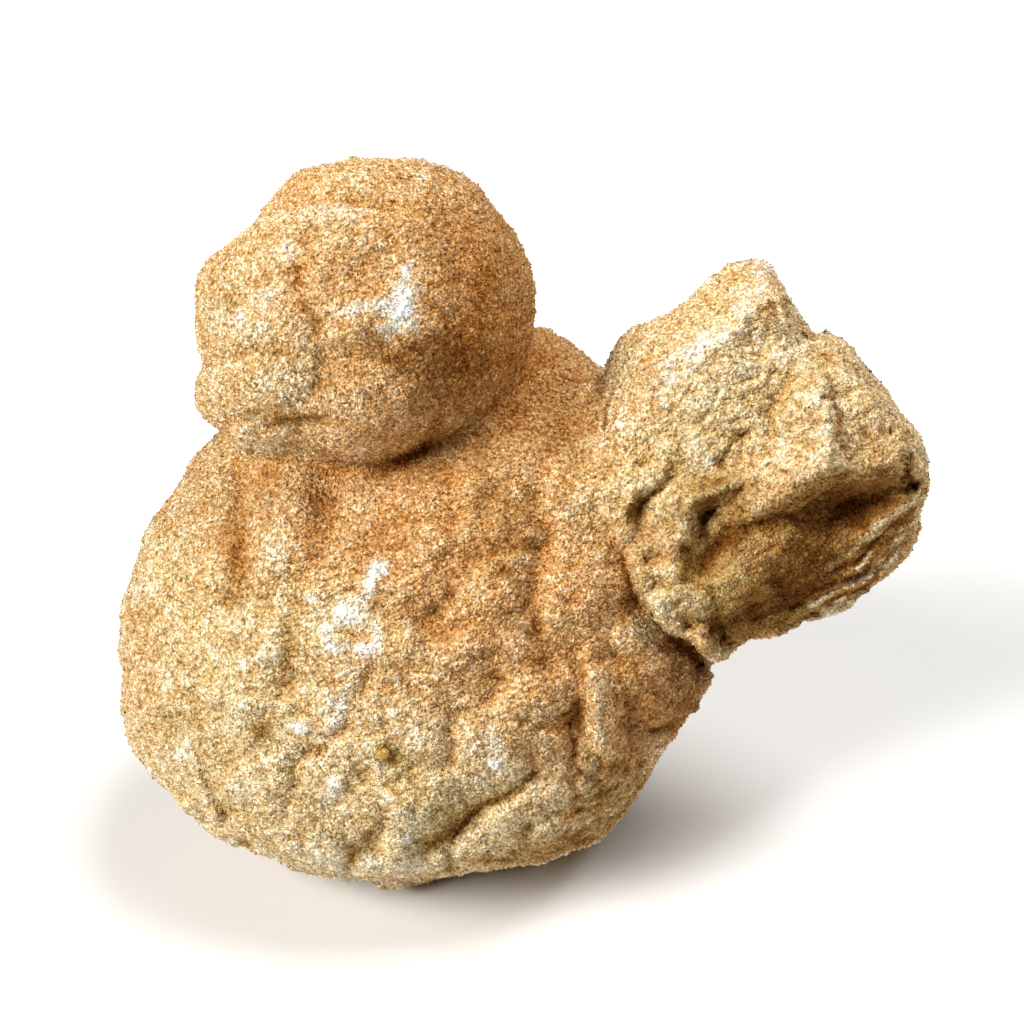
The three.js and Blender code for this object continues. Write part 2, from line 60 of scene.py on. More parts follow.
LOBES = {
    'body': dict(centre=(420, 628), depth=0, front=205, back=235, full=2.15, waves=26, fit=0.975, outline=[
        (217, 430), (206, 441), (194, 451), (185, 463), (181, 476), (177, 490), (165, 500), (154, 510), (147, 522),
        (146, 536), (140, 550), (133, 563), (131, 578), (124, 591), (121, 606), (121, 622), (121, 637), (123, 652),
        (125, 666), (125, 681), (125, 696), (125, 711), (126, 727), (130, 739), (138, 752), (148, 762), (158, 772),
        (168, 783), (175, 796), (184, 808), (195, 817), (207, 826), (218, 835), (230, 844), (244, 847), (258, 851),
        (272, 858), (285, 863), (300, 865), (314, 867), (326, 874), (341, 876), (355, 878), (369, 881), (384, 882),
        (399, 880), (414, 877), (429, 877), (444, 878), (459, 876), (472, 872), (486, 868), (500, 863), (516, 862),
        (531, 861), (545, 858), (558, 856), (572, 850), (585, 843), (599, 837), (610, 828), (618, 816), (628, 804),
        (635, 792), (644, 779), (653, 766), (663, 755), (670, 743), (679, 731), (691, 721), (697, 708), (704, 695),
        (711, 681), (716, 668), (719, 650), (718, 620), (712, 580), (700, 535), (680, 490), (652, 450), (615, 418),
        (570, 397), (520, 385), (460, 378), (400, 375), (340, 379), (285, 390), (245, 408),
    ]),
    'shoulder': dict(centre=(520, 470), depth=-45, front=150, back=150, full=2.1, waves=10, fit=0.978, outline=[
        (531, 325), (553, 337), (578, 352), (602, 370), (625, 390), (650, 425), (665, 470), (668, 520), (655, 570),
        (625, 610), (580, 635), (530, 645), (480, 635), (435, 610), (400, 570), (382, 520), (380, 470), (390, 420),
        (410, 375), (440, 340), (475, 323), (505, 318),
    ]),
    'head': dict(centre=(365, 318), depth=118, front=140, back=150, full=2.1, waves=26, fit=0.974, outline=[
        (215, 431), (206, 421), (197, 410), (195, 395), (204, 382), (207, 369), (204, 356), (197, 342), (196, 327),
        (196, 313), (195, 298), (198, 284), (204, 271), (213, 259), (226, 252), (240, 245), (251, 240), (261, 229),
        (268, 214), (274, 200), (281, 187), (292, 177), (305, 169), (319, 164), (334, 163), (349, 161), (364, 161),
        (379, 160), (395, 160), (410, 160), (426, 160), (440, 165), (454, 170), (466, 177), (478, 187), (489, 196),
        (497, 209), (506, 220), (514, 233), (521, 245), (527, 259), (531, 272), (532, 288), (532, 302), (532, 318),
        (530, 338), (524, 358), (515, 377), (502, 396), (486, 414), (466, 431), (444, 446), (420, 459), (395, 470),
        (370, 476), (345, 473), (320, 464), (295, 460), (265, 460), (242, 448), (226, 438),
    ]),
    'rock': dict(centre=(742, 465), depth=70, front=125, back=135, full=2.5, waves=30, fit=0.988, outline=[
        (606, 362), (608, 352), (612, 343), (622, 334), (634, 328), (648, 321), (662, 318), (674, 310), (686, 302),
        (695, 291), (706, 281), (717, 271), (730, 264), (745, 262), (759, 259), (771, 262), (780, 277), (787, 290),
        (794, 303), (802, 315), (807, 331), (818, 334), (832, 335), (845, 342), (856, 353), (863, 364), (870, 377),
        (881, 388), (889, 399), (897, 411), (908, 423), (918, 434), (924, 448), (928, 461), (929, 476), (927, 490),
        (927, 506), (926, 522), (923, 536), (916, 551), (909, 563), (897, 573), (886, 583), (874, 593), (862, 602),
        (848, 611), (832, 616), (817, 615), (802, 617), (791, 627), (779, 634), (765, 641), (750, 644), (739, 650),
        (731, 660), (714, 667), (703, 652), (694, 641), (680, 637), (664, 628), (650, 612), (636, 594), (615, 580),
        (590, 565), (568, 545), (552, 520), (547, 497), (556, 475), (573, 452), (586, 428), (595, 402), (601, 380),
    ]),
}
FOOT = dict(centre=(492, 742), depth=-70, radii=(138, 104, 120))
SEAT = -345

RELIEF = [
    ('line', 'head', [(258, 219), (300, 205), (340, 199), (392, 207), (430, 214), (468, 224)], 9, -7),
    ('line', 'head', [(445, 222), (475, 255), (490, 292), (516, 325)], 15, -7),
    ('line', 'head', [(408, 225), (423, 270), (430, 318), (424, 345)], 19, 11),
    ('knob', 'head', (425, 334), (34, 22), 0, 7),
    ('knob', 'head', (360, 268), (32, 22), 30, -8),
    ('knob', 'head', (355, 332), (22, 13), 0, 6),
    ('line', 'head', [(308, 232), (298, 282), (314, 320), (322, 360), (320, 405), (326, 440)], 9, -7),
    ('knob', 'head', (280, 285), (24, 46), 0, 4),
    ('line', 'head', [(215, 360), (262, 351), (312, 349)], 8, -6),
    ('knob', 'head', (275, 400), (36, 16), 0, 6),
    ('line', 'head', [(246, 419), (280, 423), (318, 424)], 7, -6),
    ('knob', 'head', (338, 366), (20, 18), 0, -5),
    ('knob', 'head', (385, 430), (42, 30), 20, 9),
    ('knob', 'head', (412, 398), (28, 22), 0, 6),
    ('knob', 'head', (240, 440), (24, 14), 0, 4),
    ('knob', 'head', (385, 352), (22, 14), 0, -7),
    ('line', 'body', [(243, 470), (252, 530), (246, 572), (262, 600)], 13, -8),
    ('knob', 'body', (290, 528), (24, 46), 0, 9),
    ('knob', 'body', (340, 500), (22, 40), 0, -9),
    ('knob', 'body', (210, 560), (18, 44), -15, 5),
    ('knob', 'body', (268, 645), (27, 32), 0, 9),
    ('line', 'body', [(300, 602), (330, 604), (360, 606)], 10, -4),
    ('knob', 'body', (390, 592), (28, 16), 0, 6),
    ('line', 'body', [(330, 655), (390, 655), (412, 640)], 10, 6),
    ('knob', 'body', (440, 622), (22, 24), 0, -10),
    ('knob', 'body', (432, 540), (38, 32), 0, 7),
    ('line', 'body', [(470, 490), (500, 540), (508, 562)], 18, 13),
    ('line', 'body', [(498, 598), (505, 632), (524, 658)], 13, 13),
    ('line', 'body', [(535, 500), (548, 540), (546, 572), (532, 592), (542, 632), (556, 664)], 12, -17),
    ('knob', 'body', (597, 598), (30, 30), 0, 14),
    ('knob', 'body', (576, 662), (14, 14), 0, -8),
    ('knob', 'body', (575, 726), (18, 30), 0, -15),
    ('line', 'body', [(601, 676), (606, 705), (610, 735), (618, 765)], 10, 17),
    ('knob', 'body', (640, 690), (30, 18), 0, 11),
    ('knob', 'body', (655, 648), (20, 22), 0, 9),
    ('knob', 'body', (504, 676), (12, 12), 0, -8),
    ('knob', 'body', (458, 662), (24, 16), 0, 6),
    ('knob', 'body', (537, 714), (24, 24), 0, 8),
    ('knob', 'body', (510, 762), (20, 34), 0, 8),
    ('line', 'body', [(452, 850), (468, 826), (482, 806), (512, 795), (528, 776)], 10, -11),
    ('knob', 'body', (416, 812), (28, 24), 0, 9),
    ('knob', 'body', (558, 796), (20, 15), 0, 8),
    ('knob', 'body', (562, 828), (18, 13), 0, 8),
    ('knob', 'body', (512, 830), (18, 14), 0, 5),
    ('knob', 'body', (385, 686), (24, 13), 0, -6),
    ('line', 'body', [(446, 700), (452, 730), (450, 765)], 11, -6),
    ('line', 'body', [(310, 730), (380, 746), (432, 745)], 11, 6),
    ('knob', 'body', (306, 766), (15, 19), 0, -6),
    ('line', 'body', [(268, 715), (268, 745), (240, 757)], 11, -5),
    ('knob', 'body', (240, 704), (25, 18), 0, 5),
    ('knob', 'body', (170, 690), (20, 22), 0, 4),
    ('knob', 'body', (158, 648), (16, 22), 0, -4),
    ('knob', 'body', (265, 792), (32, 15), 0, 6),
    ('knob', 'body', (340, 846), (18, 12), 0, 5),
    ('knob', 'body', (380, 845), (11, 18), 0, -6),
    ('knob', 'body', (232, 820), (16, 12), 0, -4),
    ('knob', 'body', (300, 672), (16, 20), 0, -5),
    ('knob', 'body', (610, 620), (16, 18), 0, -4),
    ('line', 'rock', [(770, 508), (800, 488), (832, 468), (865, 470), (905, 462)], 14, 17),
    ('knob', 'rock', (832, 462), (30, 20), 0, 6),
    ('line', 'rock', [(700, 584), (718, 562), (742, 542), (776, 528)], 14, -22),
    ('line', 'rock', [(806, 548), (850, 535), (890, 508), (918, 488)], 17, -22),
    ('line', 'rock', [(676, 616), (720, 612), (748, 590), (765, 562)], 13, 15),
    ('knob', 'rock', (690, 500), (16, 26), 0, 12),
    ('knob', 'rock', (640, 512), (16, 18), 0, -8),
    ('line', 'rock', [(560, 500), (600, 502), (632, 498)], 14, 8),
    ('line', 'rock', [(632, 566), (640, 592), (656, 618)], 9, -13),
    ('knob', 'rock', (592, 480), (40, 24), 0, 6),
    ('knob', 'rock', (750, 442), (14, 10), 0, -7),
    ('knob', 'rock', (772, 378), (26, 26), 0, -6),
    ('line', 'rock', [(742, 302), (776, 302), (788, 312)], 11, 9),
    ('knob', 'rock', (765, 332), (18, 12), 0, -6),
    ('line', 'rock', [(836, 365), (850, 400), (880, 412), (900, 430)], 12, -7),
    ('line', 'rock', [(690, 352), (672, 385), (680, 420), (700, 460)], 12, 5),
    ('line', 'rock', [(838, 602), (880, 572), (905, 545)], 8, 6),
    ('knob', 'rock', (840, 575), (30, 14), 30, -8),
]

FACETS = [
    ((-0.22, 0.42, 0.88), 122),
    ((0.62, 0.3, 0.72), 112),
    ((0.5, -0.45, 0.74), 104),
    ((-0.62, -0.25, 0.74), 116),
    ((-0.6, 0.62, 0.5), 118),
    ((-0.05, -0.85, 0.52), 118),
    ((0.55, 0.3, -0.78), 106),
    ((-0.3, 0.66, -0.69), 112),
    ((0.2, -0.58, -0.79), 108),
    ((0.86, -0.1, -0.5), 150),
    ((0.1, 0.88, -0.46), 128),
]

# Finer relief of the front. Paths and spots are in px of the view; heights in px.
FINE = [
    # head: the cap's edge, the groove down its left side, the crease below
    ('ledge', 'head', [(399, 218), (370, 209), (345, 205), (320, 206), (300, 210), (280, 219), (262, 230), (249, 241)], 13, 2.0),
    ('knob', 'head', (355, 268), (36, 24), 30, 4), ('line', 'head', [(355, 290), (372, 268), (390, 252)], 8, -3),
    ('dome', 'head', (352, 420), (44, 38), 0, 9), ('line', 'head', [(420, 438), (432, 416), (436, 392), (430, 370)], 9, -6),
    ('knob', 'head', (470, 360), (34, 24), 20, 4), ('line', 'head', [(205, 366), (222, 360), (242, 352), (262, 350)], 7, -4),
    ('line', 'head', [(300, 424), (296, 440), (300, 452)], 8, -3), ('knob', 'head', (292, 430), (20, 8), 0, -4),
    ('pit', 'head', (395, 206), (13, 7), 0, 4),
    ('line', 'head', [(315, 238), (306, 255), (300, 275), (296, 290), (303, 304), (318, 322)], 9, -4),
    ('line', 'head', [(318, 322), (316, 338), (325, 356), (322, 378), (308, 396)], 10, -2.5),
    ('pit', 'head', (299, 280), (7, 12), 0, 3), ('pit', 'head', (318, 326), (6, 9), 0, 4), ('pit', 'head', (309, 395), (9, 7), 0, 3),
    ('ledge', 'head', [(272, 421), (283, 418), (296, 416), (308, 414), (319, 415)], 7, 3.5), ('crack', 'head', [(275, 423), (290, 420), (304, 418), (317, 419)], 3.2, 6),
    ('pit', 'head', (253, 415), (6, 4), 0, 7), ('pit', 'head', (267, 346), (14, 6), 5, 2),
    ('pit', 'head', (283, 330), (7, 8), 0, 2.5), ('pit', 'head', (214, 286), (8, 6), 0, 2),
    ('pit', 'head', (370, 331), (8, 9), 0, 5), ('pit', 'head', (385, 335), (3, 6), 0, 4),
    ('pit', 'head', (341, 346), (10, 5), 0, 3), ('pit', 'head', (372, 258), (10, 9), 30, 3.5),
    ('pit', 'head', (330, 285), (7, 14), 0, 2.5), ('pit', 'head', (352, 246), (9, 7), 0, 2.5),
    ('dome', 'head', (396, 308), (26, 26), 0, 4), ('dome', 'head', (354, 314), (24, 12), 0, 3),
    ('crack', 'head', [(380, 345), (392, 349), (404, 352), (418, 346), (432, 338)], 4, 6),
    ('pit', 'head', (388, 362), (10, 4), 0, 6), ('pit', 'head', (402, 362), (6, 6), 0, 5),
    ('pit', 'head', (412, 371), (9, 5), 15, 6), ('pit', 'head', (416, 351), (8, 5), 0, 5),
    ('pit', 'head', (430, 356), (7, 5), 0, 4), ('pit', 'head', (398, 378), (6, 4), 0, 4),
    ('dome', 'head', (410, 392), (9, 12), 0, 5), ('dome', 'head', (399, 409), (13, 13), 0, 5),
    ('dome', 'head', (426, 374), (6, 8), 0, 5), ('dome', 'head', (330, 425), (13, 11), 0, 4),
    ('dome', 'head', (366, 396), (36, 34), 0, 8), ('dome', 'head', (356, 378), (15, 11), 0, 3),
    ('dome', 'head', (378, 430), (14, 12), 0, 4), ('dome', 'head', (348, 440), (14, 10), 0, 3),
    ('dome', 'head', (262, 384), (38, 28), 0, 8), ('dome', 'head', (228, 388), (15, 22), 0, 3),
    ('dome', 'head', (247, 432), (16, 12), 0, 4), ('dome', 'head', (282, 438), (15, 9), 0, 3),
    ('line', 'head', [(448, 398), (464, 410), (484, 415), (503, 398), (518, 384)], 8, -6),
    ('dome', 'head', (490, 384), (22, 12), 15, 5), ('dome', 'head', (466, 386), (13, 11), 0, 3),
    ('line', 'head', [(488, 208), (504, 246), (511, 288), (514, 330), (506, 364)], 6, -4),
    ('pit', 'head', (481, 216), (8, 4), 0, 3), ('pit', 'head', (452, 322), (6, 5), 0, 3),
    ('pit', 'head', (478, 302), (6, 5), 0, 3), ('pit', 'head', (434, 262), (7, 6), 0, 3),
    ('pit', 'head', (466, 246), (7, 6), 0, 3), ('pit', 'head', (458, 348), (9, 7), 0, 3),
    ('dome', 'head', (474, 346), (13, 16), 0, 3), ('dome', 'head', (446, 296), (13, 12), 0, 2.5),
    ('dome', 'head', (472, 274), (12, 12), 0, 2.5), ('dome', 'head', (492, 240), (10, 12), 0, 2.5),
    ('line', 'head', [(322, 185), (335, 190), (330, 200)], 5, -3),
    ('line', 'head', [(376, 176), (382, 196)], 5, -3), ('pit', 'head', (438, 192), (10, 6), 0, 2.5),
    # the deep seam where the head stands on the body
    ('crack', 'body', [(358, 478), (380, 472), (398, 462), (414, 453), (430, 440), (441, 424)], 6, 5),
    ('crack', 'head', [(368, 472), (386, 466), (402, 457), (416, 448), (432, 434), (442, 418)], 5, 4),
    ('line', 'body', [(282, 454), (300, 460), (320, 460)], 6.8, -3.2),
    # body, left
    ('line', 'body', [(246, 470), (240, 488), (236, 505), (246, 528), (250, 545), (240, 572), (233, 600)], 15, -7),
    ('pit', 'body', (234, 600), (11, 9), 0, 3),
    ('dome', 'body', (270, 546), (20, 40), -8, 6), ('dome', 'body', (352, 516), (18, 26), 0, 4),
    ('line', 'body', [(325, 478), (325, 500), (327, 522), (322, 545), (313, 566), (297, 578)], 17, -5),
    ('pit', 'body', (297, 576), (8, 6), 0, 3),
    ('line', 'body', [(293, 606), (291, 625), (291, 645), (287, 660), (291, 674), (283, 688)], 13, -7),
    ('pit', 'body', (291, 624), (8, 9), 0, 2.5), ('pit', 'body', (287, 656), (9, 7), 0, 3),
    ('pit', 'body', (275, 683), (7, 4), 0, 4), ('pit', 'body', (186, 566), (9, 5), 20, 2.5),
    ('dome', 'body', (356, 608), (22, 13), 0, 4), ('dome', 'body', (330, 632), (22, 14), 0, 3),
    ('dome', 'body', (373, 578), (12, 19), -20, 4), ('dome', 'body', (310, 592), (14, 9), 0, 3),
    ('pit', 'body', (374, 606), (9, 10), 0, 7), ('pit', 'body', (390, 597), (10, 5), 0, 4),
    ('pit', 'body', (322, 617), (9, 5), 30, 5), ('pit', 'body', (352, 634), (11, 5), 0, 4),
    ('line', 'body', [(316, 657), (338, 655), (360, 661), (372, 656)], 6.8, -3.2),
    ('line', 'body', [(376, 660), (368, 680), (356, 700), (351, 716), (344, 732), (330, 741), (318, 750)], 6, -6),
    ('line', 'body', [(318, 750), (302, 757), (293, 770), (299, 783), (286, 798), (281, 812)], 6, -6),
    ('pit', 'body', (370, 676), (8, 6), 0, 4), ('pit', 'body', (358, 692), (5, 8), -20, 3),
    ('pit', 'body', (319, 749), (8, 5), 20, 4), ('pit', 'body', (343, 736), (6, 4), 20, 4),
    ('pit', 'body', (298, 778), (5, 5), 0, 4), ('pit', 'body', (292, 768), (5, 7), 0, 4),
    ('pit', 'body', (291, 787), (8, 4), 30, 4), ('pit', 'body', (260, 734), (8, 12), 0, 6),
    ('pit', 'body', (269, 729), (5, 6), 0, 5), ('pit', 'body', (254, 746), (7, 5), 0, 4),
    ('pit', 'body', (251, 722), (5, 8), 0, 3), ('pit', 'body', (270, 712), (5, 4), 0, 3),
    ('pit', 'body', (222, 746), (6, 5), 0, 3.5), ('pit', 'body', (233, 757), (5, 5), 0, 4),
    ('pit', 'body', (206, 656), (9, 4), 0, 3), ('pit', 'body', (222, 765), (6, 4), 0, 3),
    ('line', 'body', [(170, 698), (172, 724), (178, 746)], 6.8, -2.4), ('pit', 'body', (171, 722), (8, 8), 0, 4),
    ('line', 'body', [(196, 690), (202, 722)], 6.8, -2.4), ('pit', 'body', (188, 694), (7, 6), 0, 3),
    ('pit', 'body', (156, 723), (5, 5), 0, 3), ('pit', 'body', (150, 752), (8, 4), 30, 3),
    ('pit', 'body', (153, 616), (9, 6), 0, 2.5), ('pit', 'body', (170, 596), (9, 5), 20, 3),
    ('pit', 'body', (179, 519), (6, 5), 0, 2.5), ('pit', 'body', (222, 622), (5, 5), 0, 2.5),
    ('dome', 'body', (215, 690), (14, 15), 0, 4), ('dome', 'body', (242, 704), (8, 8), 0, 3),
    ('dome', 'body', (232, 724), (10, 12), 0, 3), ('dome', 'body', (300, 730), (13, 11), 0, 4),
    ('dome', 'body', (334, 786), (11, 14), 0, 4), ('dome', 'body', (322, 712), (17, 20), 0, 3.5),
    ('dome', 'body', (268, 772), (20, 18), 0, 3), ('dome', 'body', (240, 780), (15, 17), 0, 3),
    ('ridge', 'body', [(184, 742), (192, 760), (201, 782), (209, 802), (217, 818)], 6, 5),
    ('line', 'body', [(186, 790), (198, 806), (206, 818)], 8, -5),
    ('pit', 'body', (228, 811), (12, 8), 0, 5), ('pit', 'body', (203, 803), (6, 7), 0, 4),
    ('pit', 'body', (246, 843), (6, 6), 0, 5), ('pit', 'body', (188, 792), (7, 5), 0, 3),
    ('pit', 'body', (391, 757), (12, 10), 0, 7), ('dome', 'body', (372, 748), (13, 7), 0, 3),
    ('line', 'body', [(372, 765), (362, 776), (350, 786), (341, 800)], 6, -5),
    ('pit', 'body', (361, 776), (6, 7), 0, 3), ('pit', 'body', (349, 797), (5, 5), 0, 3),
    ('line', 'body', [(382, 818), (379, 836), (368, 846), (353, 850), (348, 868)], 6, -8),
    ('pit', 'body', (352, 853), (9, 9), 0, 7), ('pit', 'body', (369, 838), (7, 7), 0, 6),
    ('pit', 'body', (346, 865), (7, 5), 0, 4), ('pit', 'body', (368, 850), (6, 5), 0, 4),
    ('pit', 'body', (307, 832), (6, 9), 0, 3), ('pit', 'body', (278, 822), (9, 5), 0, 3),
    ('pit', 'body', (300, 850), (7, 6), 0, 3), ('dome', 'body', (289, 838), (16, 11), 0, 3),
    ('dome', 'body', (326, 838), (17, 15), 0, 4), ('dome', 'body', (258, 832), (17, 9), -10, 3),
    ('dome', 'body', (404, 850), (20, 20), 0, 5), ('dome', 'body', (374, 867), (17, 10), 0, 3),
    ('dome', 'body', (402, 800), (20, 18), 0, 4), ('dome', 'body', (372, 812), (15, 17), 0, 3),
    # body, middle
    ('pit', 'body', (450, 526), (9, 9), 0, 4), ('pit', 'body', (445, 556), (8, 6), 0, 3),
    ('line', 'body', [(452, 545), (463, 556), (471, 563), (488, 553), (508, 546)], 6.8, -4),
    ('pit', 'body', (471, 561), (4, 7), 0, 5), ('pit', 'body', (508, 570), (10, 5), 0, 8),
    ('line', 'body', [(447, 560), (452, 582), (449, 600), (437, 612), (420, 619)], 7.6, -4.8),
    ('pit', 'body', (449, 597), (4, 8), 0, 5), ('pit', 'body', (436, 612), (5, 5), 0, 6),
    ('pit', 'body', (498, 491), (12, 9), 0, 4), ('pit', 'body', (487, 516), (8, 10), 0, 4),
    ('pit', 'body', (511, 505), (9, 5), 0, 4), ('pit', 'body', (535, 506), (9, 7), 0, 4),
    ('dome', 'body', (466, 530), (12, 13), 0, 4), ('dome', 'body', (497, 529), (8, 16), 0, 5),
    ('dome', 'body', (478, 600), (21, 20), 0, 6), ('dome', 'body', (476, 640), (20, 16), 0, 5),
    ('dome', 'body', (480, 572), (15, 9), 0, 4), ('dome', 'body', (452, 610), (12, 12), 0, 4),
    ('dome', 'body', (420, 540), (22, 24), 0, 3), ('dome', 'body', (425, 500), (24, 18), 0, 3),
    ('dome', 'body', (475, 487), (16, 14), 0, 4), ('dome', 'body', (505, 468), (16, 14), 0, 3),
    ('dome', 'body', (410, 585), (17, 15), 0, 3), ('dome', 'body', (408, 640), (22, 15), 0, 3),
    ('dome', 'body', (425, 662), (26, 16), 10, 4), ('pit', 'body', (406, 666), (12, 6), 0, 3.5),
    ('line', 'body', [(427, 645), (420, 660), (418, 672)], 5.1, -2.4),
    ('pit', 'body', (420, 626), (8, 8), 0, 3), ('pit', 'body', (408, 602), (7, 5), 0, 3),
    # the valley at the right of the body
    ('line', 'body', [(548, 455), (543, 475), (541, 500), (545, 535), (534, 568), (523, 592), (522, 612)], 8, -6),
    ('line', 'body', [(522, 612), (533, 626), (538, 645), (545, 660)], 7, -6),
    ('line', 'body', [(517, 527), (523, 541), (531, 551), (546, 546)], 6.8, -4),
    ('pit', 'body', (532, 548), (12, 8), -20, 6), ('pit', 'body', (531, 570), (7, 6), 0, 4),
    ('pit', 'body', (523, 605), (7, 9), 0, 5), ('pit', 'body', (533, 628), (7, 10), 0, 6),
    ('pit', 'body', (501, 622), (9, 12), 0, 4), ('pit', 'body', (500, 600), (6, 7), 0, 3),
    ('pit', 'body', (538, 660), (13, 7), 0, 6), ('pit', 'body', (524, 668), (7, 5), 30, 4),
    ('dome', 'body', (560, 582), (20, 18), 0, 5), ('dome', 'body', (557, 612), (15, 15), 0, 5),
    ('dome', 'body', (590, 572), (16, 15), 0, 3), ('dome', 'body', (588, 602), (16, 17), 0, 4),
    ('dome', 'body', (560, 540), (16, 20), 0, 3), ('dome', 'body', (512, 580), (9, 10), 0, 3),
    ('pit', 'body', (632, 602), (9, 15), 0, 9), ('pit', 'body', (616, 606), (16, 20), 0, 6),
    ('pit', 'body', (609, 585), (9, 5), 0, 3), ('pit', 'body', (628, 568), (8, 5), 30, 3),
    ('cleft', 'body', [(666, 638), (676, 647), (688, 655), (700, 664)], 8, 24),
    ('dome', 'body', (626, 644), (15, 17), 0, 7), ('dome', 'body', (634, 674), (13, 15), 0, 5),
    ('dome', 'body', (652, 668), (11, 15), 0, 4), ('dome', 'body', (596, 640), (14, 15), 0, 4),
    ('pit', 'body', (568, 646), (8, 9), 0, 4), ('pit', 'body', (610, 655), (6, 9), 0, 3),
    # the fin and the hollows on each side of it
    ('ridge', 'body', [(586, 658), (591, 674), (595, 696), (597, 722), (602, 746), (609, 768)], 17, 12), ('ridge', 'body', [(613, 770), (624, 767), (632, 757), (637, 742)], 5, 5),
    ('line', 'body', [(572, 655), (577, 680), (580, 700), (572, 716), (560, 730), (545, 726)], 8, -5),
    ('pit', 'body', (578, 704), (7, 9), 0, 6), ('pit', 'body', (565, 721), (12, 7), 25, 6),
    ('pit', 'body', (548, 726), (9, 5), 20, 4), ('pit', 'body', (569, 744), (7, 12), 0, 4),
    ('pit', 'body', (627, 726), (17, 34), 8, 7), ('pit', 'body', (614, 744), (7, 12), 0, 5),
    ('line', 'body', [(637, 694), (632, 716), (627, 742)], 8, -3),
    ('line', 'body', [(610, 766), (622, 769), (634, 760), (643, 744), (648, 730)], 8.5, -6.4),
    ('pit', 'body', (612, 770), (10, 6), 0, 8), ('pit', 'body', (601, 760), (4, 8), 0, 6),
    ('line', 'body', [(622, 696), (640, 690), (656, 692)], 6.8, -4),
    ('line', 'body', [(652, 729), (668, 723), (680, 709), (688, 698)], 7, -8),
    ('pit', 'body', (660, 726), (12, 6), 10, 5), ('dome', 'body', (652, 706), (14, 14), 0, 5),
    ('dome', 'body', (630, 766), (12, 12), 0, 0.1), ('dome', 'body', (655, 752), (15, 18), 30, 4),
    ('dome', 'body', (676, 684), (14, 18), 0, 4),
    # body, below the middle
    ('line', 'body', [(497, 658), (484, 659), (470, 666), (460, 678)], 8.5, -4),
    ('pit', 'body', (488, 659), (9, 5), 10, 5), ('pit', 'body', (488, 680), (13, 14), 0, 5),
    ('line', 'body', [(498, 676), (494, 692), (484, 704), (479, 712)], 8.5, -4),
    ('pit', 'body', (487, 699), (9, 5), 30, 4), ('line', 'body', [(411, 680), (418, 698)], 4.2, -2.4),
    ('line', 'body', [(456, 716), (450, 734), (451, 752), (443, 763)], 8.5, -4),
    ('pit', 'body', (450, 757), (9, 7), 30, 2), ('pit', 'body', (412, 770), (8, 10), 0, 4),
    ('line', 'body', [(407, 780), (415, 796), (412, 816)], 5.1, -2.4), ('pit', 'body', (401, 742), (4, 8), 0, 4),
    ('pit', 'body', (479, 712), (6, 5), 0, 4), ('pit', 'body', (526, 722), (8, 12), 0, 3),
    ('pit', 'body', (537, 730), (8, 7), 0, 4), ('pit', 'body', (530, 757), (9, 5), 0, 4),
    ('dome', 'body', (545, 748), (13, 20), 0, 6), ('dome', 'body', (532, 692), (24, 20), 0, 6),
    ('dome', 'body', (440, 682), (22, 15), 0, 4), ('dome', 'body', (478, 738), (22, 28), 0, 6),
    ('dome', 'body', (425, 735), (22, 20), 0, 4), ('dome', 'body', (390, 700), (22, 18), 0, 4),
    ('dome', 'body', (470, 775), (25, 16), 0, 4), ('dome', 'body', (430, 790), (18, 16), 0, 4),
    ('dome', 'body', (508, 760), (17, 24), 0, 5), ('dome', 'body', (510, 712), (14, 16), 0, 4),
    # the long crack and the lumps under it
    ('line', 'body', [(532, 764), (524, 780), (507, 792), (490, 800), (476, 811)], 9, -9),
    ('line', 'body', [(476, 811), (464, 820), (451, 832), (437, 839), (418, 846)], 13, -13),
    ('pit', 'body', (460, 823), (14, 8), 40, 7), ('pit', 'body', (437, 837), (10, 6), 20, 5),
    ('line', 'body', [(466, 790), (465, 812)], 8.5, -5.6), ('pit', 'body', (420, 842), (10, 5), 10, 4),
    ('line', 'body', [(530, 766), (540, 778)], 5.1, -2.4), ('dome', 'body', (520, 806), (24, 14), 20, 5),
    ('dome', 'body', (494, 824), (27, 19), 15, 7), ('dome', 'body', (472, 848), (20, 15), 0, 5),
    ('dome', 'body', (550, 792), (16, 18), 0, 7), ('dome', 'body', (537, 808), (12, 10), 0, 4),
    ('dome', 'body', (585, 790), (9, 15), 0, 6), ('dome', 'body', (588, 752), (10, 18), 0, 4),
    ('dome', 'body', (549, 830), (18, 17), 0, 8), ('dome', 'body', (506, 848), (17, 9), 0, 4),
    ('dome', 'body', (607, 806), (11, 11), 0, 5), ('dome', 'body', (430, 862), (20, 12), 0, 5),
    ('dome', 'body', (578, 818), (11, 9), 0, 4), ('dome', 'body', (598, 830), (12, 7), 0, 3),
    ('line', 'body', [(571, 738), (575, 762), (571, 786), (574, 808)], 6, -6),
    ('pit', 'body', (575, 800), (7, 10), 0, 5), ('pit', 'body', (523, 818), (7, 14), 0, 5),
    ('pit', 'body', (524, 840), (10, 5), 0, 4), ('pit', 'body', (600, 816), (13, 5), 0, 5),
    ('pit', 'body', (603, 784), (6, 12), 0, 4), ('pit', 'body', (575, 836), (16, 7), 10, 6),
    ('pit', 'body', (450, 866), (7, 11), 0, 5), ('pit', 'body', (560, 812), (9, 4), 0, 4),
    ('pit', 'body', (552, 848), (16, 5), 0, 5), ('pit', 'body', (486, 856), (12, 5), 0, 3),
    # knob at the right: wrinkles, pits and thin worn beds
    ('pit', 'rock', (742, 434), (9, 6), 10, 6), ('crack', 'rock', [(740, 434), (730, 447), (721, 466)], 4, 4),
    ('pit', 'rock', (718, 462), (5, 8), 0, 4), ('pit', 'rock', (735, 466), (5, 6), 0, 3),
    ('pit', 'rock', (640, 466), (6, 6), 0, 3),
